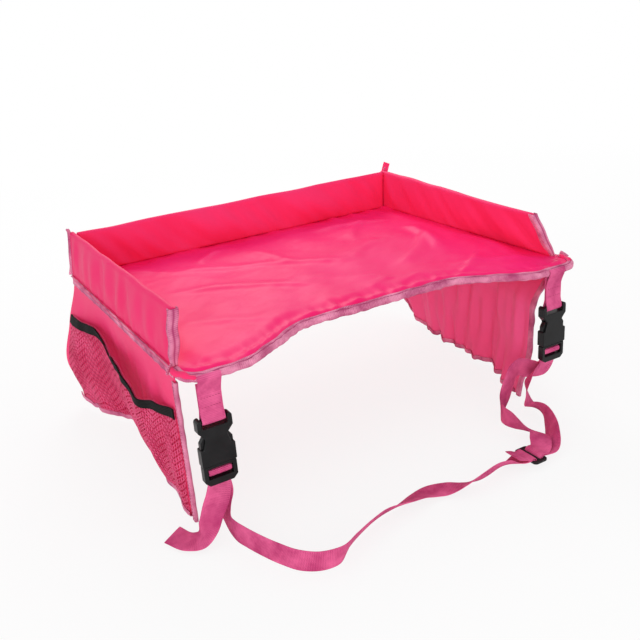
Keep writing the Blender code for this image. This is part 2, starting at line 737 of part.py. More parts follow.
def build_tab(side):
    """Webbing tab: two layers sewn flat below the seam, open in a loop round the socket's bar."""
    neck = STRAP_BAR_Z + LOOP_NECK_SHARE * TAB_LOOP_RADIUS - TAB_Z
    bar = STRAP_BAR_Z - TAB_Z
    apex = bar + LOOP_APEX_SHARE * TAB_BAR_RADIUS
    outline = arc(0.0, 0.0, TAB_HALF, 0, 180, 6) + [Vector((-TAB_HALF, neck))]
    outline += arc(0.0, bar, TAB_LOOP_RADIUS, 170, 370, 10) + [Vector((TAB_HALF, neck))]
    eye = [Vector((0.0, apex))] + arc(0.0, bar, TAB_BAR_RADIUS, 150, 390, 10)
    place = Vector((BUCKLE_X[side], TAB_Y, TAB_Z))
    plate(side + "_tab", [outline, eye], WEB_WIDTH, WEB_PINK, place, SIDEWAYS)


def mirrored(right_half):
    """Closed corner list from its right half, given from the top middle to the bottom middle."""
    return right_half + [(-x, z, radius) for x, z, radius in reversed(right_half)]


def build_socket(side):
    """Socket: ears with the webbing's bar between them, open sides, and a collar round its mouth."""
    x = BUCKLE_X[side]
    half = BUCKLE_WIDTH / 2
    ear_foot = SOCKET_TOP - EAR_LENGTH
    notch = STRAP_BAR_Z - STRAP_BAR / 2 - STRAP_SLOT
    outline = rounded(mirrored([
        (SLOT_HALF_WIDTH, notch, CORNER_RADIUS), (SLOT_HALF_WIDTH, SOCKET_TOP, CORNER_RADIUS),
        (half, SOCKET_TOP, EAR_RADIUS), (half, ear_foot, CORNER_RADIUS),
        (SCOOP_HALF_WIDTH, ear_foot - SCOOP_LENGTH, SCOOP_RADIUS), (FACE_HALF_WIDTH, COLLAR_TOP, 0),
        (half, COLLAR_TOP, CORNER_RADIUS), (half, SOCKET_MOUTH, CORNER_RADIUS)]), 3)
    place = Vector((x, TAB_Y, 0.0))
    hinge = (x, TAB_Y, TAB_Z)
    socket = plate(side + "_socket", [outline], SOCKET_THICKNESS, MOULDED_BLACK, place, UPRIGHT,
                   PLASTIC_BEVEL, hinge)
    cavity_top = COLLAR_TOP + ARM_TIP_LENGTH + GAP
    cavity = block(side + "_cavity", (x - CAVITY_HALF_WIDTH, TAB_Y - CAVITY_HALF_DEPTH,
                                      SOCKET_MOUTH - CUT_OVERRUN),
                   (x + CAVITY_HALF_WIDTH, TAB_Y + CAVITY_HALF_DEPTH, cavity_top))
    bar_half = STRAP_BAR_THICKNESS / 2
    bar = block(side + "_strap_bar", (x - SLOT_HALF_WIDTH - CUT_OVERRUN, TAB_Y - bar_half,
                                      STRAP_BAR_Z - STRAP_BAR / 2),
                (x + SLOT_HALF_WIDTH + CUT_OVERRUN, TAB_Y + bar_half, STRAP_BAR_Z + STRAP_BAR / 2),
                PLASTIC_BEVEL)
    combine(socket, cavity, "DIFFERENCE")
    combine(socket, bar, "UNION")


def combine(part, tool, operation):
    """Exact Boolean with an object of the cutters' collection, after the part's bevel."""
    tool.hide_render = True
    tool.display_type = "WIRE"
    step = part.modifiers.new(operation.lower(), "BOOLEAN")
    step.operation = operation
    step.solver = "EXACT"
    step.object = tool


def build_plug(side):
    """Plug: its base with a window, a bar across it for the webbing, and a middle guide prong."""
    x = BUCKLE_X[side]
    half = PLUG_WIDTH / 2
    window_top = SHOULDER - PLUG_TOP_BAR
    window_foot = LOCK_BAR_Z - LOCK_BAR_HEIGHT / 2 - LOCK_SLOT
    outline = rounded(mirrored([
        (half, SHOULDER, CORNER_RADIUS), (half, PLUG_BOTTOM + PLUG_CHAMFER, CORNER_RADIUS),
        (half - PLUG_CHAMFER, PLUG_BOTTOM, CORNER_RADIUS)]), 2)
    window = rounded(mirrored([
        (SLOT_HALF_WIDTH, window_top, PLASTIC_BEVEL), (SLOT_HALF_WIDTH, window_foot, PLASTIC_BEVEL)]), 2)
    place = Vector((x, TAB_Y, 0.0))
    plug = plate(side + "_plug", [outline, window], PLUG_THICKNESS, MOULDED_BLACK, place, UPRIGHT,
                 PLASTIC_BEVEL, (x, TAB_Y, SHOULDER))
    lock_half = LOCK_BAR_THICKNESS / 2
    bar = block(side + "_lock_bar", (x - SLOT_HALF_WIDTH - CUT_OVERRUN, TAB_Y - lock_half,
                                     LOCK_BAR_Z - LOCK_BAR_HEIGHT / 2),
                (x + SLOT_HALF_WIDTH + CUT_OVERRUN, TAB_Y + lock_half,
                 LOCK_BAR_Z + LOCK_BAR_HEIGHT / 2), PLASTIC_BEVEL)
    guide_half = ARM_THICKNESS / 2
    guide = block(side + "_guide", (x - GUIDE_WIDTH / 2, TAB_Y - guide_half,
                                    SHOULDER - PLUG_TOP_BAR / 2),
                  (x + GUIDE_WIDTH / 2, TAB_Y + guide_half, SHOULDER + GUIDE_LENGTH))
    combine(plug, bar, "UNION")
    combine(plug, guide, "UNION")


def build_arm(side, hand, sign):
    """Sprung arm of a plug: it rises from the shoulder and its head catches over the collar."""
    catch = CAVITY_HALF_WIDTH + ARM_CATCH
    throat = CAVITY_HALF_WIDTH - 2 * GAP
    root = SHOULDER + GAP
    ledge = COLLAR_TOP + GAP
    tip = COLLAR_TOP + ARM_TIP_LENGTH
    half = ARM_WIDTH / 2
    corners = [(ARM_ROOT - half, root, 0), (ARM_ROOT + half, root, 0),
               (throat, COLLAR_TOP - ARM_WIDTH, ARM_WIDTH), (throat, ledge, 0), (catch, ledge, 0),
               (catch, lerp(ledge, tip, HALF_SHARE), ARM_WIDTH), (throat - ARM_WIDTH, tip, ARM_WIDTH / 2),
               (throat - 2 * ARM_WIDTH, tip, ARM_WIDTH / 2), (throat - ARM_WIDTH, ledge, ARM_WIDTH)]
    outline = rounded([(sign * x, z, radius) for x, z, radius in corners], 3)
    place = Vector((BUCKLE_X[side], TAB_Y, 0.0))
    pivot = (BUCKLE_X[side] + sign * ARM_ROOT, TAB_Y, SHOULDER)
    plate(f"{side}_plug_{hand}_arm", [outline], ARM_THICKNESS, MOULDED_BLACK, place, UPRIGHT, 0.0,
          pivot)


def build_glide():
    """Tri-glide: a flat frame with three bars across the webbing."""
    slot_x = GLIDE_PITCH / 2
    slot_half = GLIDE_SLOT / 2
    half_x = GLIDE_PITCH + GLIDE_BAR / 2
    half_y = SLOT_HALF_WIDTH + GLIDE_SIDE
    outline = rounded([(half_x, half_y, GLIDE_RADIUS), (half_x, -half_y, GLIDE_RADIUS),
                       (-half_x, -half_y, GLIDE_RADIUS), (-half_x, half_y, GLIDE_RADIUS)], 4)
    slots = [rounded([(c + slot_half, SLOT_HALF_WIDTH, PLASTIC_BEVEL),
                      (c + slot_half, -SLOT_HALF_WIDTH, PLASTIC_BEVEL),
                      (c - slot_half, -SLOT_HALF_WIDTH, PLASTIC_BEVEL),
                      (c - slot_half, SLOT_HALF_WIDTH, PLASTIC_BEVEL)], 2) for c in (-slot_x, slot_x)]
    plate("tri_glide", [outline, *slots], GLIDE_THICKNESS, MOULDED_BLACK,
          Vector((GLIDE_X, GLIDE_Y, GLIDE_Z)), Matrix.Identity(3), GLIDE_BEVEL)


# Belt

UP = Vector((0.0, 0.0, 1.0))
INNER_LEG_SHARES = ((1.0, -2.77), (0.966, -1.87), (0.78, -1.40), (0.414, -1.11))
ROUND_BAR_SHARES = ((0.1, -1.0), (-0.45, -1.0), (-0.82, -0.83), (-1.0, -0.4),
                    (-1.0, 0.4), (-0.82, 0.83), (-0.45, 1.0), (0.1, 1.0))
OUTER_LEG_SHARES = ((0.278, 0.85), (0.626, 0.17), (0.905, -0.94), (0.99, -2.34))


def lying(route):
    """Stations of webbing on the table: each its middle and the way of its width."""
    stations = []
    last = len(route) - 1
    for i, (x, y, roll) in enumerate(route):
        before, after = route[max(i - 1, 0)], route[min(i + 1, last)]
        heading = Vector((after[0] - before[0], after[1] - before[1], 0.0)).normalized()
        angle = math.radians(roll)
        across = heading.cross(UP) * math.cos(angle) + UP * math.sin(angle)
        lift = (WEB_WIDTH * abs(math.sin(angle)) + WEB_THICKNESS) / 2 + GAP
        stations.append((Vector((x, y, TABLE_LEVEL + lift)), across))
    return stations


def hanging(route):
    return [(Vector(row[:3]), Vector(row[3:])) for row in route]


def lock_turn(side, sign):
    """Webbing round a plug's bar: up its inner leg, round the bar's front and down its outer leg."""
    bar_y = LOCK_BAR_THICKNESS / 2 + WEB_CLEAR
    bar_z = LOCK_BAR_HEIGHT / 2 + WEB_CLEAR
    inner_y = PLUG_THICKNESS / 2 + WEB_CLEAR
    outer_y = inner_y + WEB_LAYER
    exit_z = PLUG_BOTTOM - WEB_LAYER - LOCK_BAR_Z
    turn = [(inner_y, exit_z)] + [(inner_y * y, bar_z * z) for y, z in INNER_LEG_SHARES]
    turn += [(bar_y * y, bar_z * z) for y, z in ROUND_BAR_SHARES]
    turn += [(outer_y * y, bar_z * z) for y, z in OUTER_LEG_SHARES] + [(outer_y, exit_z)]
    return [(Vector((BUCKLE_X[side], TAB_Y + y, LOCK_BAR_Z + z)), Vector((sign, 0.0, 0.0)))
            for y, z in turn]


def glide_turn(layer, sign):
    """Webbing over the glide's first bar, under its middle bar and over its last bar. Layer 0
    lies next to the outer bars, and layer 1 over it there and next to the middle bar."""
    over = GLIDE_THICKNESS / 2 + WEB_CLEAR + layer * WEB_LAYER
    under = GLIDE_THICKNESS / 2 + WEB_CLEAR + (1 - layer) * WEB_LAYER
    outer_edge = GLIDE_PITCH - GLIDE_BAR / 2
    edge = GLIDE_THICKNESS / 2
    outer_radius = over - edge
    inner_radius = under - edge
    slot_s = outer_edge - WEB_CLEAR if layer == 0 else GLIDE_BAR / 2 + WEB_CLEAR
    bend = math.sqrt(HALF_SHARE)
    far_edge = GLIDE_PITCH + GLIDE_BAR / 2
    half_run = [(far_edge + bend * outer_radius, edge + bend * outer_radius), (GLIDE_PITCH, over),
                (outer_edge - bend * outer_radius, edge + bend * outer_radius), (slot_s, 0.0),
                (GLIDE_BAR / 2 + bend * inner_radius, -edge - bend * inner_radius), (0.0, -under)]
    run = [(-s, h) for s, h in half_run[:-1]] + list(reversed(half_run))
    width = Vector((0.0, sign, 0.0))
    stations = [(Vector((GLIDE_X + s, GLIDE_Y, GLIDE_Z + h)), width) for s, h in run]
    return stations if sign < 0 else list(reversed(stations))


def belt_stations():
    """The whole belt: tail, left plug, main run, glide, front strand, right plug, rear strand and
    back through the glide on top of itself to its end."""
    top = GLIDE_Z + GLIDE_THICKNESS / 2 + WEB_CLEAR + WEB_LAYER
    end = []
    for share in (HALF_SHARE, 1.0):
        x = GLIDE_X - lerp(GLIDE_PITCH + GLIDE_BAR, END_REACH, share)
        end.append((Vector((x, GLIDE_Y, top + END_LIFT * share)), Vector((0.0, 1.0, 0.0))))
    return (hanging(TAIL) + lock_turn("left", 1) + hanging(MAIN_DROP) + lying(MAIN_RUN)
            + glide_turn(0, -1) + lying(STRAND_FRONT) + hanging(STRAND_FRONT_RISE)
            + lock_turn("right", -1) + hanging(STRAND_REAR_RISE) + lying(STRAND_REAR)
            + hanging(STRAND_REAR_END) + glide_turn(1, 1) + end)


def smooth_stations(stations):
    """Stations close together on a smooth curve through the given ones, widths square to it."""
    centres = [centre for centre, _ in stations]
    gaps = [(b - a).length for a, b in zip(centres, centres[1:])]
    slopes = [(b - a) / gap for a, b, gap in zip(centres, centres[1:], gaps)]
    tangents = [slopes[0]]
    for before, after, s0, s1 in zip(gaps, gaps[1:], slopes, slopes[1:]):
        tangents.append((s0 * after + s1 * before) / (before + after))
    tangents.append(slopes[-1])
    fine = []
    for i, gap in enumerate(gaps):
        steps = max(1, round(gap / BELT_STEP))
        for step in range(steps + (i == len(gaps) - 1)):
            t = step / steps
            near = centres[i] * (2 * t ** 3 - 3 * t ** 2 + 1) + tangents[i] * gap * (t ** 3 - 2 * t ** 2 + t)
            far = centres[i + 1] * (3 * t ** 2 - 2 * t ** 3) + tangents[i + 1] * gap * (t ** 3 - t ** 2)
            tangent = tangents[i].lerp(tangents[i + 1], t).normalized()
            width = stations[i][1].normalized().lerp(stations[i + 1][1].normalized(), t)
            fine.append((near + far, (width - tangent * width.dot(tangent)).normalized()))
    return fine


def build_belt():
    stations = smooth_stations(belt_stations())
    last = len(stations) - 1

    def place(u, v):
        centre, width = stations[round(u * last)]
        return centre + width * WEB_WIDTH * (v - HALF_SHARE)

    sheet("belt", last, 1, place, WEB_THICKNESS, WEB_PINK)
    length = sum((b[0] - a[0]).length for a, b in zip(stations, stations[1:]))
    print("belt length", round(length, 3), "stations", last + 1)


build_base()
build_walls()
build_wall_end("left", left_wall)
build_wall_end("right", right_wall)
build_corner_binding("left", -1, left_wall_x)
build_corner_binding("right", 1, right_wall_x)
build_front_binding()
for side in ("left", "right"):
    build_skirt(side)
    build_tab(side)
    build_socket(side)
    build_plug(side)
    build_arm(side, "left", -1)
    build_arm(side, "right", 1)
build_glide()
build_belt()
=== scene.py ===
# %% [markdown]
# # A soft tray table for a child's car seat
# The tray is cloth sewn over stiff boards. It has three walls, an open front with a cut-out for
# the belly, two skirts with net pockets, and a webbing belt on two side-release buckles.
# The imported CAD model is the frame: its black buckles stay and get a better finish, and every
# cloth piece is made again here with its folds, seams and stitches.

# %% Load the frame
import math

import bpy
import numpy as np
from mathutils import Matrix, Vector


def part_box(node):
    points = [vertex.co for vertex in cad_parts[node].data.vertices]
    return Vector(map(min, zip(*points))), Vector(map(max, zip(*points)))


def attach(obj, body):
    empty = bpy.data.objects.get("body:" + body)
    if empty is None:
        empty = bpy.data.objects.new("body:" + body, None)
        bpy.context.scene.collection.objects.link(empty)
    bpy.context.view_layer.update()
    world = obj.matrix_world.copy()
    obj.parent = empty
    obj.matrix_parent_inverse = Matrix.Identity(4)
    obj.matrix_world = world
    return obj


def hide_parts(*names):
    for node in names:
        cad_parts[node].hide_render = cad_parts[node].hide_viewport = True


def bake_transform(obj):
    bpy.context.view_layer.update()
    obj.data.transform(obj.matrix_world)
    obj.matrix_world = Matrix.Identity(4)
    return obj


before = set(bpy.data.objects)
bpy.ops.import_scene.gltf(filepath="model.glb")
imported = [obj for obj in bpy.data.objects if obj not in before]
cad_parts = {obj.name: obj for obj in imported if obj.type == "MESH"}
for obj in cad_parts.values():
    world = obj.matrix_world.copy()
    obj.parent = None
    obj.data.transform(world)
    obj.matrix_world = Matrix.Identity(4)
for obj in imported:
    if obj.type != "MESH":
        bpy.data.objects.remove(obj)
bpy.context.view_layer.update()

# %% [markdown]
# ## Camera
# The photograph was taken from a little above, from the child's side and left of the middle.
# Its direction, distance and slight roll were worked out once from the tray's known corners, so
# here the camera is only set down: three unit vectors make its rotation, and its place lies back
# along the view from the point that it looks at.

# %% Objects in their places


def link(name, data):
    """A new object of the scene that holds this data."""
    made = bpy.data.objects.new(name, data)
    bpy.context.scene.collection.objects.link(made)
    return made


def set_down(item, x_axis, y_axis, z_axis, place):
    """Turn an object so that its axes are three unit vectors, and put it at a place."""
    turn = np.eye(4)
    turn[:3] = np.column_stack([x_axis, y_axis, z_axis, place])
    item.matrix_world = Matrix(turn.tolist())


# %% Camera at the photograph's angle
AZIMUTH, ELEVATION, ROLL = math.radians(-29.01), math.radians(21.63), math.radians(-4.52)
AIM = np.array((-0.06296, -0.13544, 0.0))
DISTANCE = 0.71399
FOCAL_MM, SENSOR_MM, NEAREST = 45.0, 36.0, 0.01

back = np.array((math.sin(AZIMUTH) * math.cos(ELEVATION), -math.cos(AZIMUTH) * math.cos(ELEVATION),
                 math.sin(ELEVATION)))
level = np.array((math.cos(AZIMUTH), math.sin(AZIMUTH), 0.0))
upright = np.cross(back, level)
right = math.cos(ROLL) * level + math.sin(ROLL) * upright
above = -math.sin(ROLL) * level + math.cos(ROLL) * upright

camera_data = bpy.data.cameras.new("camera")
camera_data.lens, camera_data.sensor_width, camera_data.clip_start = FOCAL_MM, SENSOR_MM, NEAREST
camera = link("camera", camera_data)
set_down(camera, right, above, back, AIM + back * DISTANCE)
bpy.context.scene.camera = camera
bpy.context.scene.view_settings.view_transform = "Standard"
print("camera at", [round(float(x), 3) for x in AIM + back * DISTANCE])

# %% [markdown]
# ## Shader maths
# A material is a tree of nodes. Written as Python expressions it reads like a formula: the Wire
# class holds one socket, and its operators add Math nodes, so that `1 - mask * 0.5` works.
# Every other node comes from Finish.node, with its settings first and its inputs after them.

# %% Wires and finishes


class Wire:
    """One socket of a material. Operators on wires and numbers add Math nodes."""

    def __init__(self, tree, socket):
        self.tree, self.socket = tree, socket

    def maths(self, operation, *values):
        node = self.tree.nodes.new("ShaderNodeMath")
        node.operation = operation
        for place, value in zip(node.inputs, values):
            plug_in(self.tree, place, value)
        return Wire(self.tree, node.outputs[0])

    def __add__(self, other):
        return self.maths("ADD", self, other)

    def __radd__(self, other):
        return self.maths("ADD", other, self)

    def __sub__(self, other):
        return self.maths("SUBTRACT", self, other)

    def __rsub__(self, other):
        return self.maths("SUBTRACT", other, self)

    def __mul__(self, other):
        return self.maths("MULTIPLY", self, other)

    def __rmul__(self, other):
        return self.maths("MULTIPLY", other, self)

    def sine(self):
        return self.maths("SINE", self)

    def size(self):
        return self.maths("ABSOLUTE", self)

    def clamp(self):
        return self.maths("MINIMUM", self.maths("MAXIMUM", self, 0.0), 1.0)


def plug_in(tree, place, value):
    """Link a wire to an input, or set the input to a number or a colour."""
    if isinstance(value, Wire):
        tree.links.new(value.socket, place)
    else:
        place.default_value = value


class Finish:
    """A material with one Principled shader, and helpers for what feeds it."""

    def __init__(self, name, color, **constants):
        self.material = bpy.data.materials.new(name)
        self.material.use_nodes = True
        self.tree = self.material.node_tree
        self.shader = self.tree.nodes["Principled BSDF"]
        self.set("Base Color", (*color, 1.0))
        for socket, value in constants.items():
            self.set(socket.replace("_", " ").title().replace("Ior", "IOR"), value)

    def set(self, socket, value):
        plug_in(self.tree, self.shader.inputs[socket], value)

    def node(self, kind, settings, inputs, output=0):
        made = self.tree.nodes.new("ShaderNode" + kind)
        for key, value in settings.items():
            setattr(made, key, value)
        for place, value in inputs.items():
            plug_in(self.tree, made.inputs[place], value)
        return Wire(self.tree, made.outputs[output])

    def place(self, kind="Object"):
        return self.node("TexCoord", {}, {}, kind)

    def noise(self, where, scale, detail=2.0, roughness=0.5, distortion=0.0):
        return self.node("TexNoise", {}, {"Vector": where, "Scale": scale, "Detail": detail,
                                          "Roughness": roughness, "Distortion": distortion}, "Fac")

    def blend(self, mask, a, b):
        """Colour a where the mask is 0 and b where it is 1."""
        return self.node("Mix", {"data_type": "RGBA"}, {0: mask, 6: as_color(a), 7: as_color(b)}, 2)

    def bump(self, height, distance, strength=1.0, under=None):
        inputs = {"Height": height, "Distance": distance, "Strength": strength}
        if under is not None:
            inputs["Normal"] = under
        return self.node("Bump", {}, inputs, "Normal")

    def split(self, where):
        node = self.tree.nodes.new("ShaderNodeSeparateXYZ")
        plug_in(self.tree, node.inputs[0], where)
        return [Wire(self.tree, out) for out in node.outputs]


def as_color(value):
    return value if isinstance(value, Wire) else (*value, 1.0)


# %% [markdown]
# ## Cloth, tape, net and plastic
# The nylon is a thin satin cloth in one bright pink. Its colour shifts a little in broad random patches
# tinted towards a painted shade and a painted highlight, its wrinkles catch soft light, and a close look
# finds the weave. The tape and the webbing are a paler, mauve pink with ribs across them, painted
# lighter on their tops as highlight and darker in their hollows as shade, which follow the strip's own
# UV map in metres.

# %% Nylon
NYLON = (1.0, 0.014, 0.178)
# Painted shade and painted highlight colours, mixed into the cloth in broad random patches
NYLON_SHADE_TINT = (0.86, 0.008, 0.095)
NYLON_HIGHLIGHT_TINT = (1.0, 0.075, 0.290)
SATIN = (1.0, 0.30, 0.50, 1.0)
INWARD_SHARPNESS = 30.0
# Scales of the noises, per metre, and the heights of the wrinkles and the weave
PATCHES, WRINKLES, WEAVE = 9.0, 42.0, 1600.0
WRINKLE_HEIGHT, WEAVE_HEIGHT = 0.0006, 0.00006


def nylon(name, base=NYLON, wrinkle=WRINKLE_HEIGHT, roughness=0.42, inside=None, gloss=0.12):
    """Satin cloth: broad random shifts of colour towards a painted shade and a painted highlight, soft
    wrinkles in two sizes, and a fine weave. The faces that look towards the tray's middle may have a
    colour of their own, which is painted light of the same cloth: the walls' inner faces are painted a
    lighter pink than their outer faces, and the thin skirts' inner faces a paler pink, a painted glow
    of light coming through."""
    finish = Finish(name, base, sheen_weight=0.0, specular_tint=SATIN, specular_ior_level=gloss)
    where = finish.place()
    broad = finish.noise(where, PATCHES, 3.0)
    small = finish.noise(where, WRINKLES, 3.0, 0.55, 0.6)
    weave = finish.noise(where, WEAVE, 1.0)
    # Broad random patches tinted towards the painted shade and the painted highlight colours
    shade_highlight_patches = finish.blend((broad * 1.8 - 0.4).clamp(), NYLON_SHADE_TINT, NYLON_HIGHLIGHT_TINT)
    # Faces towards the tray's middle take a second colour: painted light and shade of the same cloth
    if inside:
        (x, y, _), (nx, ny, _) = finish.split(where), finish.split(finish.place("Normal"))
        base = finish.blend(((x * nx + y * ny) * -INWARD_SHARPNESS).clamp(), base, inside)
    finish.set("Base Color", finish.blend(0.25, base, shade_highlight_patches))
    finish.set("Roughness", roughness + 0.10 * (small - 0.5))
    soft = finish.bump(small, wrinkle, 0.55)
    finish.set("Normal", finish.bump(weave, WEAVE_HEIGHT, 0.35, soft))
    return finish.material


CLOTH_TOP = nylon("nylon_floor")
# Walls: the inner faces are painted a lighter pink, painted light of the same cloth
CLOTH_WALL = nylon("nylon_walls", (0.90, 0.024, 0.150), WRINKLE_HEIGHT, 0.46, (1.0, 0.042, 0.165), 0.08)
CLOTH_UNDER = nylon("nylon_underside", (0.92, 0.040, 0.160))
# Skirts: the inner faces are painted paler, a painted glow of light coming through the thin cloth
CLOTH_SKIRT = nylon("nylon_skirts", (1.0, 0.060, 0.210), 0.0007, 0.55, (1.0, 0.165, 0.380), 0.20)
print("nylon finishes made")

# %% Tape and webbing
# Painted shade and painted highlight colours of the woven tape and webbing
TAPE_SHADE, TAPE_HIGHLIGHT = (0.42, 0.040, 0.150), (0.96, 0.360, 0.540)
WEB_SHADE, WEB_HIGHLIGHT = (0.48, 0.035, 0.150), (0.88, 0.145, 0.340)
TAPE_WEAVE = {"rib": 0.0016, "column": 0.0021, "depth": 0.00020, "slant": 0.6}
MOTTLE_SCALE, MOTTLE_HEIGHT = 55.0, 0.0009


def ribbed(name, dark, light, rib, column, depth, roughness=0.75, slant=0.0, groove_shades=()):
    """A woven strip: ribs across its length times bars along it, both from its UV in metres. Its colour
    is painted highlight on the weave's tops and painted shade in its hollows, shifted by random mottling.
    A slant leans the ribs, and a groove shade is a dark line, painted as the shade of a groove, at a
    distance across."""
    finish = Finish(name, light, specular_ior_level=0.15)
    along, across, _ = finish.split(finish.place("UV"))
    ribs = ((along + across * slant) * (2 * math.pi / rib)).sine()
    bars = (across * (2 * math.pi / column)).sine()
    height = (ribs * 0.5 + ribs * bars * 0.5) * 0.5 + 0.5
    mottle = finish.noise(finish.place(), MOTTLE_SCALE, 3.0, 0.6)
    # Painted highlight on the weave's tops and painted shade in its hollows, shifted by random mottling
    shade = (0.80 * height + 2.2 * (mottle - 0.45)).clamp()
    # Painted shade along the grooves
    for centre, half in groove_shades:
        shade = shade * ((across - centre).size() * (1 / half)).clamp()
    finish.set("Base Color", finish.blend(shade, dark, light))
    finish.set("Roughness", roughness + 0.12 * (mottle - 0.5))
    soft = finish.bump(mottle, MOTTLE_HEIGHT, 0.5)
    finish.set("Normal", finish.bump(height, depth, 0.8, soft))
    return finish.material


BINDING = ribbed("binding_tape", TAPE_SHADE, TAPE_HIGHLIGHT, **TAPE_WEAVE)
# Dark lines painted as the shade of grooves: two sewn ones on the front tape, the fold's on the end tapes
FRONT_BINDING = ribbed("front_binding_tape", TAPE_SHADE, TAPE_HIGHLIGHT, **TAPE_WEAVE,
                       groove_shades=[(0.0038, 0.0009), (0.0165, 0.0010)])
END_BINDING = ribbed("end_binding_tape", TAPE_SHADE, TAPE_HIGHLIGHT, **TAPE_WEAVE, groove_shades=[(0.0078, 0.0014)])
WEBBING = ribbed("webbing", WEB_SHADE, WEB_HIGHLIGHT, 0.0013, 0.0026, 0.00025)
print("tape and webbing finishes made")

# %% Net, elastic, thread, board and moulded plastic
NET_DROP, NET_COLUMNS, NET_ROWS = 0.095, 76, 30
ELASTIC_RIB, ELASTIC_BAR = 0.0016, 0.0021


def net_finish():
    """Knitted cords: random patches of colour, and every second row painted paler as a highlight along the
    rows.
    """
    finish = Finish("net", (0.84, 0.055, 0.185), roughness=0.6, specular_ior_level=0.2)
    patch = finish.noise(finish.place(), 38.0, 2.0)
    across = finish.split(finish.place("UV"))[1]
    rows = (across * (math.pi * NET_ROWS / NET_DROP)).sine()
    # Random patches plus a painted highlight on every second row
    shade = (patch * 1.5 - 0.30 + 0.40 * rows).clamp()
    finish.set("Base Color", finish.blend(shade, (0.56, 0.012, 0.085), (0.95, 0.120, 0.29)))
    return finish.material


def elastic_finish():
    """Black braid: fine ribs along the band, crossed by short bars, painted a shade lighter on their tops as
    highlight and darker in their hollows as shade.
    """
    finish = Finish("elastic", (0.012, 0.012, 0.012), specular_ior_level=0.1)
    along, across, _ = finish.split(finish.place("UV"))
    ribs = (across * (2 * math.pi / ELASTIC_RIB)).sine()
    bars = (along * (2 * math.pi / ELASTIC_BAR)).sine()
    height = ribs * 0.35 + ribs * bars * 0.25 + 0.5
    # Painted highlight on the braid's tops and painted shade in its hollows
    finish.set("Base Color", finish.blend(height.clamp(), (0.002, 0.002, 0.002), (0.014, 0.013, 0.0135)))
    finish.set("Roughness", 0.85 - 0.2 * height)
    finish.set("Normal", finish.bump(height, 0.0003, 0.9))
    return finish.material


def thread_finish():
    """Sewing thread: deep pink, with a fine twist."""
    finish = Finish("thread", (0.33, 0.020, 0.090), roughness=0.6, specular_ior_level=0.2)
    twist = finish.noise(finish.place(), 1400.0, 1.0)
    finish.set("Normal", finish.bump(twist, 0.0001, 0.6))
    return finish.material


def plain_plastic(name, color, roughness, grain, worn=(0.014, 0.014, 0.015)):
    """Moulded plastic: a fine spark-eroded grain, and random patches of a second colour."""
    finish = Finish(name, color, specular_ior_level=0.22)
    where = finish.place()
    grainy = finish.noise(where, grain, 2.0)
    smear = finish.noise(where, 70.0, 3.0, 0.6)
    finish.set("Base Color", finish.blend((smear * 1.6 - 0.45).clamp(), color, worn))
    finish.set("Roughness", roughness + 0.16 * (smear - 0.5))
    finish.set("Normal", finish.bump(grainy, 0.00005, 0.5))
    return finish.material


NET = net_finish()
ELASTIC = elastic_finish()
THREAD = thread_finish()
MOULDED = plain_plastic("moulded_black", (0.0045, 0.0045, 0.005), 0.38, 2600.0)
BOARD = plain_plastic("board", (0.80, 0.80, 0.77), 0.6, 900.0, (0.70, 0.70, 0.66))
print("net, elastic, thread and plastic finishes made")

# %% [markdown]
# ## From arrays to meshes
# Each new piece is a formula of two parameters, worked out on a whole grid at once with numpy.
# `surface` turns the grid of points into quads and gives it a UV map in metres, and `finish_piece`
# hangs it on its body of the frame, names what it replaces and gives it its finish.

# %% Grid helpers


def smooth(t):
    """Smooth step: 3t^2 - 2t^3 of t limited to 0 to 1."""
    t = np.clip(t, 0.0, 1.0)
    return t * t * (3 - 2 * t)


def mix(a, b, t):
    return a + (b - a) * t


def from_table(shares, s):
    """Smooth value between given pairs (place, value)."""
    place, value = np.array(shares, dtype=float).T
    i = np.clip(np.searchsorted(place, s, side="right") - 1, 0, len(place) - 2)
    return mix(value[i], value[i + 1], smooth((s - place[i]) / (place[i + 1] - place[i])))


def ripple(x, y, wave, seed, count=7):
    """Smooth random relief of about -1 to 1: a sum of plane waves of about one wavelength, whose
    directions, lengths and phases come from a seed."""
    chance = np.random.default_rng(seed)
    angle, phase = chance.uniform(0, 2 * np.pi, (2, count))
    pitch = 2 * np.pi * chance.uniform(0.65, 1.45, count) / wave
    turn = (x[..., None] * np.cos(angle) + y[..., None] * np.sin(angle)) * pitch + phase
    return np.sin(turn).sum(-1) / math.sqrt(count)


def wavy(run, wave, seed):
    """The same relief along one direction only."""
    return ripple(run, 0 * run, wave, seed)


def bell(distance, half):
    """Bell curve: 1 at a distance of 0, and 1/e at the half width."""
    return np.exp(-(distance / half) ** 2)


def unit(vectors):
    return vectors / np.maximum(np.linalg.norm(vectors, axis=-1, keepdims=True), 1e-12)


def spans(count_u, count_v):
    """Two parameter grids from 0 to 1, of shape (count_u, count_v)."""
    return np.meshgrid(np.linspace(0, 1, count_u), np.linspace(0, 1, count_v), indexing="ij")


def columns(*values):
    """Points or rows from their coordinates, each a number or an array."""
    return np.stack(np.broadcast_arrays(*values), -1)


def distances(line):
    """Distance run along a line of points, from 0."""
    return np.concatenate([[0.0], np.cumsum(np.linalg.norm(np.diff(line, axis=0), axis=1))])


def between(place, run, values):
    """Rows of a table that belong to a run, read at other places along it."""
    return np.stack([np.interp(place, run, column) for column in values.T], -1)


def lengths(points, axis):
    """Mean distance run along one axis of a grid, from 0."""
    step = np.linalg.norm(np.diff(points, axis=axis), axis=-1).mean(axis=1 - axis)
    return np.concatenate(([0.0], np.cumsum(step)))


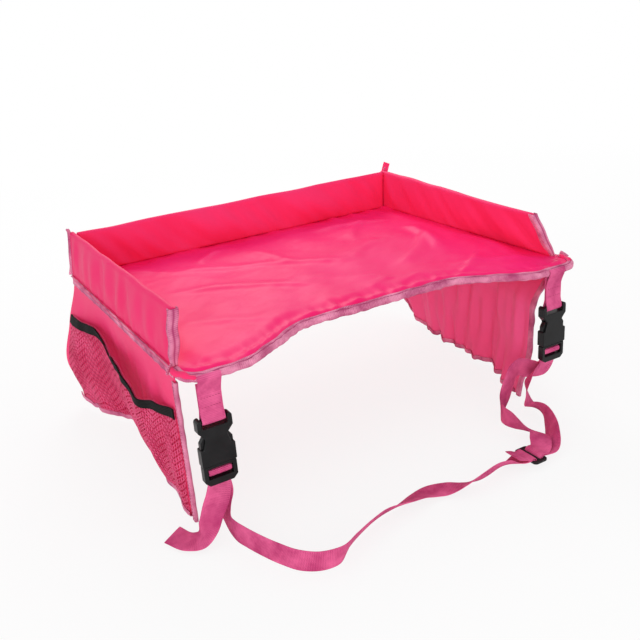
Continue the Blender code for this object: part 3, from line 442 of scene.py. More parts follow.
def build_mesh(name, points, faces, corner_uv):
    """A mesh of quads, given as rows of four vertex numbers, with one UV pair for each corner."""
    mesh = bpy.data.meshes.new(name)
    mesh.from_pydata(points.reshape(-1, 3), [], faces)
    layer = mesh.uv_layers.new(name="UVMap")
    layer.data.foreach_set("uv", np.asarray(corner_uv, dtype=np.float32).ravel())
    mesh.shade_smooth()
    return mesh


def quads(count_u, count_v, closed=False):
    """Vertex numbers of a grid's quads, and the same with the last column kept apart for UVs."""
    i, j = np.meshgrid(np.arange(count_u - 1), np.arange(count_v if closed else count_v - 1),
                       indexing="ij")
    near, far = i * count_v, (i + 1) * count_v
    ahead = (j + 1) % count_v
    faces = np.stack([near + j, far + j, far + ahead, near + ahead], -1).reshape(-1, 4)
    corners = np.stack([np.stack([i, j], -1), np.stack([i + 1, j], -1),
                        np.stack([i + 1, j + 1], -1), np.stack([i, j + 1], -1)], -2).reshape(-1, 4, 2)
    return faces, corners


def surface(name, points):
    """An open sheet from a grid of points, with its UV map in metres along and across."""
    count_u, count_v = points.shape[:2]
    faces, corners = quads(count_u, count_v)
    u, v = lengths(points, 0), lengths(points, 1)
    return build_mesh(name, points, faces, np.stack([u[corners[..., 0]], v[corners[..., 1]]], -1))


SIDES = {"left": -1.0, "right": 1.0}


def finish_piece(mesh, material, body, replaced=(), thickness=0.0):
    """Link a mesh as a piece that rides on a body, with a Solidify wall where it is a sheet."""
    piece = link(mesh.name, mesh)
    mesh.materials.append(material)
    if thickness:
        wall = piece.modifiers.new("wall", "SOLIDIFY")
        wall.thickness = thickness
        wall.offset = 0.0
        wall.use_rim = True
    if body:
        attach(piece, body)
    if replaced:
        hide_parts(*replaced)
    return piece


# %% [markdown]
# ## The belt
# The belt is one flat strip of webbing, 20 mm wide. Its middle follows points that were chosen along
# the photograph, and at each point the strip also has a way that its width lies. A smooth curve runs
# through both. The strip is cut where a buckle or the slider moves, so that each stretch can ride on
# what carries it, or turn smoothly from one body to the next.

# %% The belt's route
# A station that hangs is (x, y, z) and the way of its width. One that lies on the table is (x, y)
# and its roll in degrees.
WEB_WIDTH, WEB_THICKNESS, GAP = 0.020, 0.0011, 0.0003
TABLE_LEVEL = -0.1412
TAIL = [
    (-0.2345, -0.1630, -0.1385, -0.90, -0.40, -0.15), (-0.2255, -0.1805, -0.1388, -0.60, -0.78, -0.15),
    (-0.2175, -0.1860, -0.1370, -0.10, -0.98, -0.15), (-0.2100, -0.1850, -0.1290, 0.45, -0.85, -0.15),
    (-0.2035, -0.1830, -0.1175, 0.70, -0.70, 0.00), (-0.1960, -0.1800, -0.1065, 0.95, -0.30, 0.00)]
MAIN_DROP = [
    (-0.1905, -0.1745, -0.1060, 0.85, -0.50, 0.00), (-0.1910, -0.1765, -0.1160, 0.35, -0.93, 0.00),
    (-0.1915, -0.1820, -0.1255, 0.10, -0.80, 0.60), (-0.1925, -0.1905, -0.1300, 0.00, -0.40, 0.90)]
MAIN_RUN = [
    (-0.1925, -0.2010, 90), (-0.1895, -0.2135, 90), (-0.1847, -0.2288, 90), (-0.1770, -0.2481, 90),
    (-0.1682, -0.2640, 88), (-0.1551, -0.2745, 82), (-0.1394, -0.2770, 76), (-0.1217, -0.2665, 62),
    (-0.1021, -0.2570, 56), (-0.0800, -0.2495, 50), (-0.0670, -0.2478, 42), (-0.0560, -0.2464, 32),
    (-0.0400, -0.2425, 18), (-0.0240, -0.2405, 3), (-0.0089, -0.2455, 3), (0.0020, -0.2535, 26),
    (0.0177, -0.2570, 52), (0.0364, -0.2550, 56), (0.0479, -0.2535, 44), (0.0590, -0.2522, 22)]
STRAND_FRONT = [
    (0.1030, -0.2530, 12), (0.1189, -0.2420, 50), (0.1304, -0.2282, 66), (0.1397, -0.2124, 88),
    (0.1455, -0.1970, 128)]
STRAND_FRONT_RISE = [
    (0.1462, -0.1860, -0.1345, -0.93, -0.30, 0.20), (0.1458, -0.1812, -0.1240, -0.75, -0.60, 0.25),
    (0.1476, -0.1790, -0.1120, -0.55, -0.83, 0.15), (0.1545, -0.1775, -0.1045, -0.50, -0.70, 0.50),
    (0.1640, -0.1765, -0.1030, -0.84, -0.30, 0.40), (0.1725, -0.1755, -0.1020, -0.97, 0.00, 0.22)]
STRAND_REAR_RISE = [
    (0.1755, -0.1725, -0.1010, -0.95, 0.05, 0.30), (0.1695, -0.1690, -0.1050, -0.62, 0.05, 0.78),
    (0.1590, -0.1660, -0.1035, -0.15, 0.00, 0.98), (0.1490, -0.1645, -0.0995, -0.05, -0.10, 0.99),
    (0.1410, -0.1650, -0.1030, -0.40, -0.10, 0.90), (0.1340, -0.1670, -0.1115, -0.60, -0.10, 0.78),
    (0.1265, -0.1700, -0.1210, -0.50, 0.00, 0.86), (0.1170, -0.1755, -0.1280, -0.25, 0.00, 0.96)]
STRAND_REAR = [
    (0.1090, -0.1835, 90), (0.1057, -0.1930, 88), (0.1060, -0.2020, 80), (0.1075, -0.2121, 60)]
STRAND_REAR_END = [
    (0.1098, -0.2215, -0.1335, -0.74, 0.06, 0.67), (0.1100, -0.2325, -0.1320, -0.86, 0.25, 0.40),
    (0.1030, -0.2430, -0.1308, -0.45, 0.88, 0.12)]

# %% Where the webbing turns round a buckle's bar and through the slider
plug_low, plug_high = np.array(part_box("left_plug"))
BUCKLE_X = {side: np.array(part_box(side + "_plug"))[:, 0].mean() for side in ("left", "right")}
BUCKLE_Y = (plug_low[1] + plug_high[1]) / 2
PLUG_BOTTOM = plug_low[2]
PLUG_THICKNESS = plug_high[1] - plug_low[1]
LOCK_BAR_LIFT, LOCK_HALF_Y, LOCK_HALF_Z = 0.0107, 0.0012, 0.0015
LOCK_BAR_Z = PLUG_BOTTOM + LOCK_BAR_LIFT
WEB_CLEAR = GAP + WEB_THICKNESS / 2
WEB_LAYER = GAP + WEB_THICKNESS
glide_low, glide_high = np.array(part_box("tri_glide"))
GLIDE = (glide_low + glide_high) / 2
GLIDE_HALF_Z = (glide_high[2] - glide_low[2]) / 2
GLIDE_BAR = 0.0026
GLIDE_PITCH = (glide_high[0] - glide_low[0] - GLIDE_BAR) / 2

# The turn's shape, in shares of the half sizes of what it runs round
INNER_LEG = ((1.0, -2.77), (0.966, -1.87), (0.78, -1.40), (0.414, -1.11))
ROUND_BAR = ((0.1, -1.0), (-0.45, -1.0), (-0.82, -0.83), (-1.0, -0.4),
             (-1.0, 0.4), (-0.82, 0.83), (-0.45, 1.0), (0.1, 1.0))
OUTER_LEG = ((0.278, 0.85), (0.626, 0.17), (0.905, -0.94), (0.99, -2.34))


def lying(route):
    """Stations of webbing on the table. Each is its middle and the way of its width, which is
    level at a roll of 0 degrees and upright at 90, turned about its heading."""
    x, y, roll = np.array(route, dtype=float).T
    heading = unit(columns(np.gradient(x), np.gradient(y), 0.0))
    angle = np.radians(roll)[:, None]
    up = np.array((0.0, 0.0, 1.0))
    width = np.cross(heading, up) * np.cos(angle) + up * np.sin(angle)
    lift = (WEB_WIDTH * np.abs(np.sin(angle[:, 0])) + WEB_THICKNESS) / 2 + GAP
    return np.column_stack([x, y, TABLE_LEVEL + lift, width])


def lock_turn(side, sign):
    """Webbing round a plug's bar: up its inner leg, over the bar's front, down its outer leg."""
    bar = np.array((LOCK_HALF_Y + WEB_CLEAR, LOCK_HALF_Z + WEB_CLEAR))
    inner = np.array((PLUG_THICKNESS / 2 + WEB_CLEAR, bar[1]))
    outer = np.array((inner[0] + WEB_LAYER, bar[1]))
    leave = PLUG_BOTTOM - WEB_LAYER - LOCK_BAR_Z
    y, z = np.concatenate([[(inner[0], leave)], np.array(INNER_LEG) * inner, np.array(ROUND_BAR) * bar,
                           np.array(OUTER_LEG) * outer, [(outer[0], leave)]]).T
    return columns(BUCKLE_X[side], BUCKLE_Y + y, LOCK_BAR_Z + z, sign, 0.0, 0.0)


def glide_turn(layer, sign):
    """Webbing over the slider's outer bars and under its middle bar. Layer 0 lies next to the
    outer bars, and layer 1 lies on it there."""
    over = GLIDE_HALF_Z + WEB_CLEAR + layer * WEB_LAYER
    under = GLIDE_HALF_Z + WEB_CLEAR + (1 - layer) * WEB_LAYER
    near, far = GLIDE_PITCH - GLIDE_BAR / 2, GLIDE_PITCH + GLIDE_BAR / 2
    bend = math.sqrt(0.5)
    top, low = bend * (over - GLIDE_HALF_Z), bend * (under - GLIDE_HALF_Z)
    slot_s = near - WEB_CLEAR if layer == 0 else GLIDE_BAR / 2 + WEB_CLEAR
    half = np.array([(far + top, GLIDE_HALF_Z + top), (GLIDE_PITCH, over), (near - top, GLIDE_HALF_Z + top),
                     (slot_s, 0.0), (GLIDE_BAR / 2 + low, -GLIDE_HALF_Z - low), (0.0, -under)])
    run = np.concatenate([half[:-1] * (-1, 1), half[::-1]])
    turn = columns(GLIDE[0] + run[:, 0], GLIDE[1], GLIDE[2] + run[:, 1], 0.0, sign, 0.0)
    return turn if sign < 0 else turn[::-1]


END_REACH, END_LIFT = 0.022, 0.004
belt_end = np.array([(GLIDE[0] - mix(GLIDE_PITCH + GLIDE_BAR, END_REACH, share), GLIDE[1],
                      GLIDE[2] + GLIDE_HALF_Z + WEB_CLEAR + WEB_LAYER + END_LIFT * share, 0.0, 1.0, 0.0)
                     for share in (0.5, 1.0)])
STRETCHES = [TAIL, lock_turn("left", 1), MAIN_DROP, lying(MAIN_RUN), glide_turn(0, -1), lying(STRAND_FRONT),
             STRAND_FRONT_RISE, lock_turn("right", -1), STRAND_REAR_RISE, lying(STRAND_REAR),
             STRAND_REAR_END, glide_turn(1, 1), belt_end]
FIRST = np.concatenate([[0], np.cumsum([len(part) for part in STRETCHES])])
stations = np.concatenate(STRETCHES)
stations[:, 3:] = unit(stations[:, 3:])
print("belt stations", len(stations))

# %% A smooth strip through the stations
STATION_STEP = 0.0016
SHARP_EDGE = math.radians(50)


def strip_curve(first, last):
    """Cubic Hermite curve through the stations first to last: the slope at each is the mean of the
    runs beside it, weighted by the other run's length. Gives middles, widths and distances."""
    place = distances(stations[:, :3])
    gap = np.linalg.norm(np.diff(stations[:, :3], axis=0), axis=1)
    slope = np.diff(stations, axis=0) / gap[:, None]
    inner = (slope[:-1] * gap[1:, None] + slope[1:] * gap[:-1, None]) / (gap[1:] + gap[:-1])[:, None]
    slopes = np.concatenate([slope[:1], inner, slope[-1:]])
    run = np.linspace(place[first], place[last], max(8, int((place[last] - place[first]) / STATION_STEP)))
    i = np.clip(np.searchsorted(place, run, side="right") - 1, 0, len(gap) - 1)
    t, h = ((run - place[i]) / gap[i])[:, None], gap[i][:, None]
    curve = (stations[i] * (2 * t**3 - 3 * t**2 + 1) + slopes[i] * h * (t**3 - 2 * t**2 + t)
             + stations[i + 1] * (3 * t**2 - 2 * t**3) + slopes[i + 1] * h * (t**3 - t**2))
    heading = unit(mix(slopes[i, :3], slopes[i + 1, :3], t))
    width = curve[:, 3:]
    return curve[:, :3], unit(width - heading * (width * heading).sum(-1, keepdims=True)), heading, run


# A ring round the strip: shares of half its width, and of half its thickness, thinner at the rims
RIM = np.array((-1.0, -0.94, -0.6, -0.3, 0.0, 0.3, 0.6, 0.94, 1.0))
RIM_UP = 1 - 0.55 * RIM**8
RING_ACROSS, RING_UP = np.concatenate([RIM, RIM[::-1]]), np.concatenate([RIM_UP, -RIM_UP])


def strip(name, middle, width, heading, run, wide=WEB_WIDTH, thick=WEB_THICKNESS):
    """A closed flat strip: at each middle point a ring lies across it. A ring's point is the middle
    plus its share of half the width, plus its share of half the thickness along the face."""
    face = np.cross(heading, width)
    points = (middle[:, None] + width[:, None] * (RING_ACROSS * wide / 2)[:, None]
              + face[:, None] * (RING_UP * thick / 2)[:, None])
    count_u, count_v = points.shape[:2]
    faces, corners = quads(count_u, count_v, closed=True)
    across = np.append(RING_ACROSS, RING_ACROSS[0]) * wide / 2
    uv = np.stack([run[corners[..., 0]], across[corners[..., 1]]], -1)
    rows = len(RIM) - 1
    i = np.arange(rows)
    cap = np.stack([i, i + 1, count_v - 2 - i, count_v - 1 - i], -1)
    end = cap[:, ::-1] + (count_u - 1) * count_v
    faces = np.concatenate([faces, cap, end])
    uv = np.concatenate([uv, np.zeros((2 * rows, 4, 2))])
    mesh = build_mesh(name, points, faces, uv)
    return outward(mesh)


def outward(mesh):
    """Turn a closed mesh's faces outwards where its signed volume is negative, and keep its sharp
    edges sharp."""
    count = len(mesh.polygons)
    loops = np.zeros(len(mesh.loops), dtype=np.int32)
    mesh.loops.foreach_get("vertex_index", loops)
    spots = np.zeros(len(mesh.vertices) * 3)
    mesh.vertices.foreach_get("co", spots)
    corner = spots.reshape(-1, 3)[loops.reshape(count, 4)]
    volume = (np.einsum("ij,ij->i", corner[:, 0], np.cross(corner[:, 1], corner[:, 2]))
              + np.einsum("ij,ij->i", corner[:, 0], np.cross(corner[:, 2], corner[:, 3]))).sum()
    if volume < 0:
        mesh.flip_normals()
    mesh.set_sharp_from_angle(angle=SHARP_EDGE)
    return mesh


# %% Cut the belt into stretches and hang each on what carries it
LEFT_TURN, LEFT_FALL, GLIDE_IN, GLIDE_OUT = FIRST[1], FIRST[2], FIRST[4], FIRST[5] - 1
RIGHT_TURN, RIGHT_OUT, BACK_IN, LAST = FIRST[7], FIRST[8] - 1, FIRST[11], FIRST[13] - 1
# Name, first and last station, the body that carries it, and the body that its far end follows
BELT_CUTS = [
    ("belt_tail", 0, LEFT_TURN, "left_plug", None),
    ("belt_left_turn", LEFT_TURN, LEFT_FALL - 1, "left_plug", None),
    ("belt_left_drop", LEFT_FALL - 1, LEFT_FALL, "left_plug", "left_socket"),
    ("belt_left_fall", LEFT_FALL, LEFT_FALL + 1, "left_socket", "tray"),
    ("belt_run", LEFT_FALL + 1, GLIDE_IN - 3, "tray", None),
    ("belt_to_slider", GLIDE_IN - 3, GLIDE_IN, "tray", "tri_glide"),
    ("belt_slider_turn", GLIDE_IN, GLIDE_OUT, "tri_glide", None),
    ("belt_front_start", GLIDE_OUT, GLIDE_OUT + 3, "tri_glide", "tray"),
    ("belt_front_strand", GLIDE_OUT + 3, RIGHT_TURN - 4, "tray", None),
    ("belt_front_rise", RIGHT_TURN - 4, RIGHT_TURN - 2, "tray", "right_socket"),
    ("belt_front_end", RIGHT_TURN - 2, RIGHT_TURN, "right_socket", "right_plug"),
    ("belt_right_turn", RIGHT_TURN, RIGHT_OUT, "right_plug", None),
    ("belt_rear_end", RIGHT_OUT, RIGHT_OUT + 1, "right_plug", "right_socket"),
    ("belt_rear_rise", RIGHT_OUT + 1, RIGHT_OUT + 2, "right_socket", "tray"),
    ("belt_rear_strand", RIGHT_OUT + 2, BACK_IN - 2, "tray", None),
    ("belt_to_return", BACK_IN - 2, BACK_IN, "tray", "tri_glide"),
    ("belt_slider_return", BACK_IN, LAST, "tri_glide", None)]

belt = {}
for name, first, last, body, other in BELT_CUTS:
    middle, width, heading, run = strip_curve(first, last)
    piece = finish_piece(strip(name, middle, width, heading, run), WEBBING, None if other else body,
                         ["belt"])
    if other:
        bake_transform(piece)
    belt[name] = (piece, middle, float(run[-1] - run[0]))
print("belt pieces", {name: round(length, 3) for name, (_, _, length) in belt.items()})

NAMES = list(belt)
LEFT_HALF = [name for name in NAMES[:NAMES.index("belt_front_start")] if name != "belt_run"]
RIGHT_HALF = [name for name in NAMES[NAMES.index("belt_front_start"):] if name != "belt_rear_strand"]
for main, others, extra in (("belt_run", LEFT_HALF, ["tri_glide"]), ("belt_rear_strand", RIGHT_HALF, [])):
    piece, path, length = belt[main]
    [belt[name][0] for name in others] + extra

# %% [markdown]
# ## The floor panel
# One nylon panel covers the base board and is sewn down under the three walls and the front edge.
# It is a little loose, so it domes slightly and lies in long soft creases. Each crease is a ridge
# along a line between two points: its height fades with the distance from the line.

# %% Plan of the base
base_low, base_high = np.array(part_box("base_under_cover"))
HALF_WIDTH, REAR_Y, REACH_Y = base_high[0], base_high[1], base_low[1]
wall_low, wall_high = np.array(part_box("left_wall_cover"))
FRONT_Y, WALL_TOP, WALL_FOOT = wall_low[1], wall_high[2], wall_low[2]
WALL_THICKNESS, CLOTH, TAPE, CORNER_RADIUS = 0.0062, 0.0008, 0.0008, 0.020
CUTOUT_DEPTH, CUTOUT_FLAT, CUTOUT_HALF = 0.0435, 0.070, 0.168
FLOOR_EDGE_Z = WALL_FOOT - GAP - CLOTH / 2
# Height of the floor's dome, and the widths of the strips in which the dome and the folds rise
FLOOR_CROWN, DOME_RUN, FOLD_RUN, FOLD_GAIN = 0.0030, 0.024, 0.020, 1.4
# Flat border that is sewn down, and where the dome and the folds begin
SEWN, SEWN_FOLDS = 0.0036, 0.006
GATHER, GATHER_REACH, PUCKER, PUCKER_REACH = 0.0020, 0.012, 0.0007, 0.010
ROLL, ROLL_PLACE, ROLL_HALF = 0.0019, 0.0085, 0.0045


def front_edge(x):
    """Y of the front edge: two lobes, a smooth belly cut-out and round outer corners."""
    across = np.abs(x)
    y = REACH_Y + CUTOUT_DEPTH * (1 - smooth((across - CUTOUT_FLAT) / (CUTOUT_HALF - CUTOUT_FLAT)))
    past = np.clip(across - (HALF_WIDTH - CORNER_RADIUS), 0.0, CORNER_RADIUS)
    return y + CORNER_RADIUS - np.sqrt(CORNER_RADIUS**2 - past**2)


def plan_x(u):
    """X across the base from u of 0 to 1, with closer columns round the two outer corners."""
    return HALF_WIDTH * (0.72 * (2 * u - 1) + 0.28 * np.sin(np.pi / 2 * (2 * u - 1)))


# Ridges of the floor: two ends of a line, then its height and its half width, all in metres.
# A hollow is its middle, its radius and its depth.
FLOOR_RIDGES = [
    (-0.150, 0.075, 0.060, -0.044, 0.0016, 0.012), (-0.160, 0.012, -0.010, -0.084, 0.0015, 0.011),
    (-0.092, 0.076, -0.048, 0.112, 0.0014, 0.007), (-0.030, 0.084, -0.012, 0.000, 0.0012, 0.009),
    (0.165, 0.050, 0.128, -0.068, 0.0026, 0.012), (0.158, -0.092, 0.078, -0.146, 0.0018, 0.008),
    (0.052, 0.100, 0.180, 0.080, 0.0014, 0.012), (0.165, 0.010, 0.066, -0.075, 0.0022, 0.011),
    (0.040, -0.025, 0.115, 0.020, 0.0018, 0.016), (0.190, -0.020, 0.165, -0.150, 0.0016, 0.012),
    (-0.036, -0.124, -0.004, -0.114, 0.0007, 0.006), (0.004, -0.116, 0.046, -0.098, 0.0009, 0.007),
    (0.030, -0.125, 0.075, -0.108, 0.0008, 0.007), (0.080, 0.030, 0.150, 0.110, 0.0014, 0.010),
    (-0.180, -0.080, -0.090, -0.130, 0.0010, 0.012), (-0.060, -0.030, 0.060, -0.120, 0.0010, 0.016),
    (-0.190, 0.120, -0.120, 0.060, 0.0012, 0.010), (0.100, -0.110, 0.190, -0.155, 0.0014, 0.009)]
FLOOR_HOLLOWS = [(0.060, -0.066, 0.022, 0.0022), (0.118, -0.090, 0.020, 0.0018),
                 (0.150, 0.100, 0.024, 0.0014), (-0.050, 0.050, 0.030, 0.0012)]


BOW, STEEP_SIDE, FADE = 0.06, 0.55, 0.25


def ridge(x, y, x0, y0, x1, y1, height, half):
    """Height of one crease: a bell curve of the distance from its line, steeper on one side, which
    fades at its ends."""
    along = np.array((x1 - x0, y1 - y0))
    size = np.hypot(*along)
    s = ((x - x0) * along[0] + (y - y0) * along[1]) / size**2
    off = (-(x - x0) * along[1] + (y - y0) * along[0]) / size
    bow = off - BOW * size * np.sin(np.pi * np.clip(s, 0, 1))
    half = np.where(bow < 0, STEEP_SIDE * half, half)
    return height * bell(bow, half) * smooth(s / FADE) * smooth((1 - s) / FADE)


def floor_height(x, y):
    """Dome, creases and hollows, faded to nothing at the sewn edges, plus gathers at the seams."""
    past = y - front_edge(x)
    inward = np.minimum(np.minimum(HALF_WIDTH - np.abs(x), REAR_Y - y), past)
    dome = FLOOR_CROWN * smooth((inward - SEWN_FOLDS) / DOME_RUN)
    relief = sum(ridge(x, y, *line) for line in FLOOR_RIDGES)
    for hx, hy, radius, depth in FLOOR_HOLLOWS:
        relief = relief - depth * bell(np.hypot(x - hx, y - hy), radius)
    relief = FOLD_GAIN * relief + 0.0006 * ripple(x, y, 0.070, 4) + 0.00012 * ripple(x, y, 0.022, 9)
    gather = GATHER * wavy(x, 0.026, 21) * bell(REAR_Y - GATHER_REACH - y, GATHER_REACH)
    front = PUCKER * wavy(x, 0.012, 5) * bell(past - GATHER_REACH, PUCKER_REACH)
    roll = ROLL * bell(past - ROLL_PLACE, ROLL_HALF) * (1 + 0.35 * wavy(x, 0.030, 6))
    lift = (dome + relief * smooth((inward - SEWN_FOLDS) / FOLD_RUN) + gather
            + (front + roll) * smooth((inward - SEWN) / 0.004))
    return FLOOR_EDGE_Z + np.where(inward > SEWN, np.maximum(lift, 0.0002), 0.0)


u, v = spans(221, 171)
x = plan_x(u)
near = front_edge(x)
y = mix(near, REAR_Y, v)
floor_cloth = finish_piece(surface("floor_cloth", columns(x, y, floor_height(x, y))), CLOTH_TOP,
                           "tray", ["base_top_cover"], CLOTH)
# The under cloth is flat where it is sewn, and a hair slack elsewhere
SLACK, FLAT_SHARE, FLAT_SIDE = 0.0001, 0.05, 0.02
away = smooth(v / FLAT_SHARE) * smooth((1 - v) / FLAT_SHARE) * smooth((HALF_WIDTH - np.abs(x)) / FLAT_SIDE)
slack = SLACK * away * ripple(x, y, 0.03, 3)
under_cloth = finish_piece(surface("under_cloth", columns(x, y, CLOTH / 2 + slack)), CLOTH_UNDER,
                           "tray", ["base_under_cover"], CLOTH)
for cloth in (floor_cloth, under_cloth):
    float(np.trapz(REAR_Y - near[:, 0], x[:, 0]))
print("floor and under cloth made")

# %% [markdown]
# ## The walls
# Each wall is a sleeve of the same nylon over a board. The cloth bellies a little between its
# seams, dents where it is slack, and closes at its ends. The section is an arch: up one face,
# over the crest, and down the other face.

# %% Wall sleeves
LEFT_LEAN, RIGHT_FRONT_LEAN, REAR_LEAN = 0.006, 0.023, 0.004
LEFT_CUT_BACK, RIGHT_CUT_BACK = 0.001, 0.007
TRAY_DEPTH = REAR_Y - FRONT_Y


def left_wall(t, n, z):
    """Point of the left wall: t from front to rear, n outwards from its middle, z its height."""
    x = -(HALF_WIDTH - WALL_THICKNESS / 2 - LEFT_LEAN * z / WALL_TOP)
    return columns(x - n, mix(FRONT_Y + LEFT_CUT_BACK * z / WALL_TOP, REAR_Y, t), z)


def right_wall(t, n, z):
    """Point of the right wall, which leans in more and more towards its front."""
    x = HALF_WIDTH - WALL_THICKNESS / 2 - RIGHT_FRONT_LEAN * smooth(1 - t) * z / WALL_TOP
    return columns(x + n, mix(FRONT_Y + RIGHT_CUT_BACK * z / WALL_TOP, REAR_Y, t), z)


def rear_wall(t, n, z):
    """Point of the rear wall, which runs between the inner faces of the side walls."""
    inside = WALL_THICKNESS / 2 + GAP
    y = REAR_Y - WALL_THICKNESS / 2 - REAR_LEAN * z / WALL_TOP
    start = -(HALF_WIDTH - WALL_THICKNESS / 2 - LEFT_LEAN * z / WALL_TOP) + inside
    return columns(mix(start, HALF_WIDTH - WALL_THICKNESS / 2 - inside, t), y + n, z)


def arch(v, radius, foot, crest, leg_share=0.42):
    """Section of a sleeve for v from 0 to 1: up the outer leg, round the crest, down the inner."""
    angle = np.pi * np.clip((v - leg_share) / (1 - 2 * leg_share), 0, 1)
    leg = np.clip(np.minimum(v, 1 - v) / leg_share, 0, 1)
    round_top = radius * np.sin(angle)
    return radius * np.cos(angle), mix(foot, crest - radius, leg) + np.where(leg >= 1, round_top, 0.0)


WALL_LENGTH = {"left": TRAY_DEPTH, "right": TRAY_DEPTH, "rear": 2 * HALF_WIDTH}
# Length of a closed end's rounding, and the share of the height to which pleats reach
CLOSED_END, PLEAT_REACH = 0.0045, 0.20
# Each wall's function, the seed of its folds, its belly, the depth of its dents, how much of its
# thickness is left at its two closed ends, the folds' slant, their wavelength and its pleats' depth
WALLS = {"left": (left_wall, 31, 0.0014, 0.0014, (0.16, 0.95), 0.10, 0.052, 0.0013),
         "right": (right_wall, 47, 0.0020, 0.0018, (0.16, 0.95), -0.70, 0.075, 0.0012),
         "rear": (rear_wall, 12, 0.0032, 0.0036, (0.16, 0.16), 0.85, 0.070, 0.0026)}


def wall_cloth(side):
    """Sleeve with belly: n grows by puff times a sine of the height, and dents follow noise."""
    wall, seed, puff, dent, shut, slant, wave, pleat = WALLS[side]
    t, v = spans(150, 61)
    radius, crest = WALL_THICKNESS / 2 - CLOTH / 2, WALL_TOP - CLOTH / 2
    n, z = arch(v, radius, WALL_FOOT, crest)
    run = t * WALL_LENGTH[side]
    tall = np.clip((z - WALL_FOOT) / (crest - WALL_FOOT), 0, 1)
    end = np.minimum(run, WALL_LENGTH[side] - run)
    swell = np.sin(np.pi * tall) ** 0.8 * smooth(end / 0.03)
    face = np.sign(n) + (n == 0)
    folds = (ripple(run + slant * z, z * 0.35 + 0.2 * face, wave, seed)
             + 0.35 * ripple(run + slant * z, 0.25 * z + face, 0.026, seed + 1))
    pleats = wavy(run + 0.3 * face + slant * z, 0.024, seed + 2)
    pleats = pleat * pleats * np.exp(-tall / PLEAT_REACH) * smooth(tall / 0.06)
    out = (np.maximum(swell * (puff + dent * folds), -0.0004)
           + np.maximum(pleats, -0.0003) * smooth(end / 0.02))
    closing = np.sqrt(np.clip(1 - (1 - np.clip(end / CLOSED_END, 0, 1)) ** 2, 0, 1))
    n = n * np.maximum(closing, mix(*shut, t)) + face * out * np.minimum(1, np.abs(n) / radius)
    sag = 0.0006 * wavy(run, 0.090, seed + 5) * smooth(end / 0.05) * tall**2
    points = wall(t, n, z + np.minimum(sag, 0.0003))
    return finish_piece(surface(side + "_wall_cloth", points), CLOTH_WALL, "tray",
                        [side + "_wall_cover"], CLOTH)


for side in WALLS:
    wall_cloth(side)

# The right wall's board leans with its cloth
END_MARGIN, FOOT_MARGIN, TOP_MARGIN, BOARD_THICKNESS = 0.006 / TRAY_DEPTH, 0.0015, 0.0035, 0.003
t, v = spans(40, 9)
leaning = right_wall(mix(END_MARGIN, 1 - END_MARGIN, t), 0.0,
                     mix(WALL_FOOT + FOOT_MARGIN, WALL_TOP - TOP_MARGIN, v))
finish_piece(surface("right_wall_stiffener", leaning), BOARD, "tray", ["right_wall_board"],
             BOARD_THICKNESS)
print("wall sleeves made")

# %% [markdown]
# ## Bound edges
# Raw edges are wrapped in a folded tape. It is the same arch section carried along the edge, a
# little wavy, because the sewing machine draws it up. The stitches are short threads that follow
# the tape.

# %% Stitches


def stitches(name, line, face, body, pitch=0.0034, length=0.0024, radius=0.00026):
    """Threads along a line of points, half sunk into the cloth: each is a six-sided spindle of 5
    rings, whose radius is a half sine of its length. The face is the way that the cloth looks."""
    run = distances(line)
    count = max(2, int(run[-1] / pitch))
    start = (np.arange(count) + 0.5) * run[-1] / count
    rings = np.linspace(-0.5, 0.5, 5)
    middle = between(start[:, None] + rings * length, run, line)
    ahead = unit(np.gradient(middle, axis=1))
    out = np.broadcast_to(np.array(face), middle.shape)
    side = np.cross(ahead, out)
    girth = radius * np.maximum(np.cos(np.pi * rings), 0.15)[None, :, None, None]
    angle = np.linspace(0, 2 * np.pi, 6, endpoint=False)[None, None, :, None]
    points = middle[:, :, None] + girth * (np.cos(angle) * side[:, :, None] + np.sin(angle) * out[:, :, None])
    one, corners = quads(5, 6, closed=True)
    caps = np.array([(3, 2, 1, 0), (5, 4, 3, 0), (24, 25, 26, 27), (24, 27, 28, 29)])
    one = np.concatenate([one, caps])
    faces = (one[None] + 30 * np.arange(count)[:, None, None]).reshape(-1, 4)
    mesh = build_mesh(name, points, faces, np.zeros((len(faces), 4, 2)))
    return finish_piece(outward(mesh), THREAD, body)


def bind(name, points, body, replaced=(), material=BINDING, thickness=TAPE):
    """A sheet of tape as a piece."""
    return finish_piece(surface(name, points), material, body, replaced, thickness)


# %% Tape round the front edge
EDGE_MIDDLE = (WALL_FOOT - GAP) / 2
EDGE_RADIUS = EDGE_MIDDLE + GAP + TAPE / 2
TAPE_LEG, TOP_LEG = 0.0075, 0.0034


def front_path(count):
    """Plan of the bound edge, from one wall end round both lobes to the other, evenly spaced."""
    x = plan_x(np.linspace(0, 1, 1200))
    plan = np.stack([x, front_edge(x)], -1)
    start = FRONT_Y - WALL_THICKNESS / 2 - 2 * GAP - TAPE
    plan = np.concatenate([[(-HALF_WIDTH, start)], plan, [(HALF_WIDTH, start)]])
    run = distances(plan)
    even = np.linspace(0, run[-1], count)
    path = between(even, run, plan)
    ahead = unit(np.gradient(path, axis=0))
    return path, np.stack([ahead[:, 1], -ahead[:, 0]], -1), even


FRONT_POINTS, UPPER_SEAM, LOWER_SEAM = 460, 0.31, 0.88


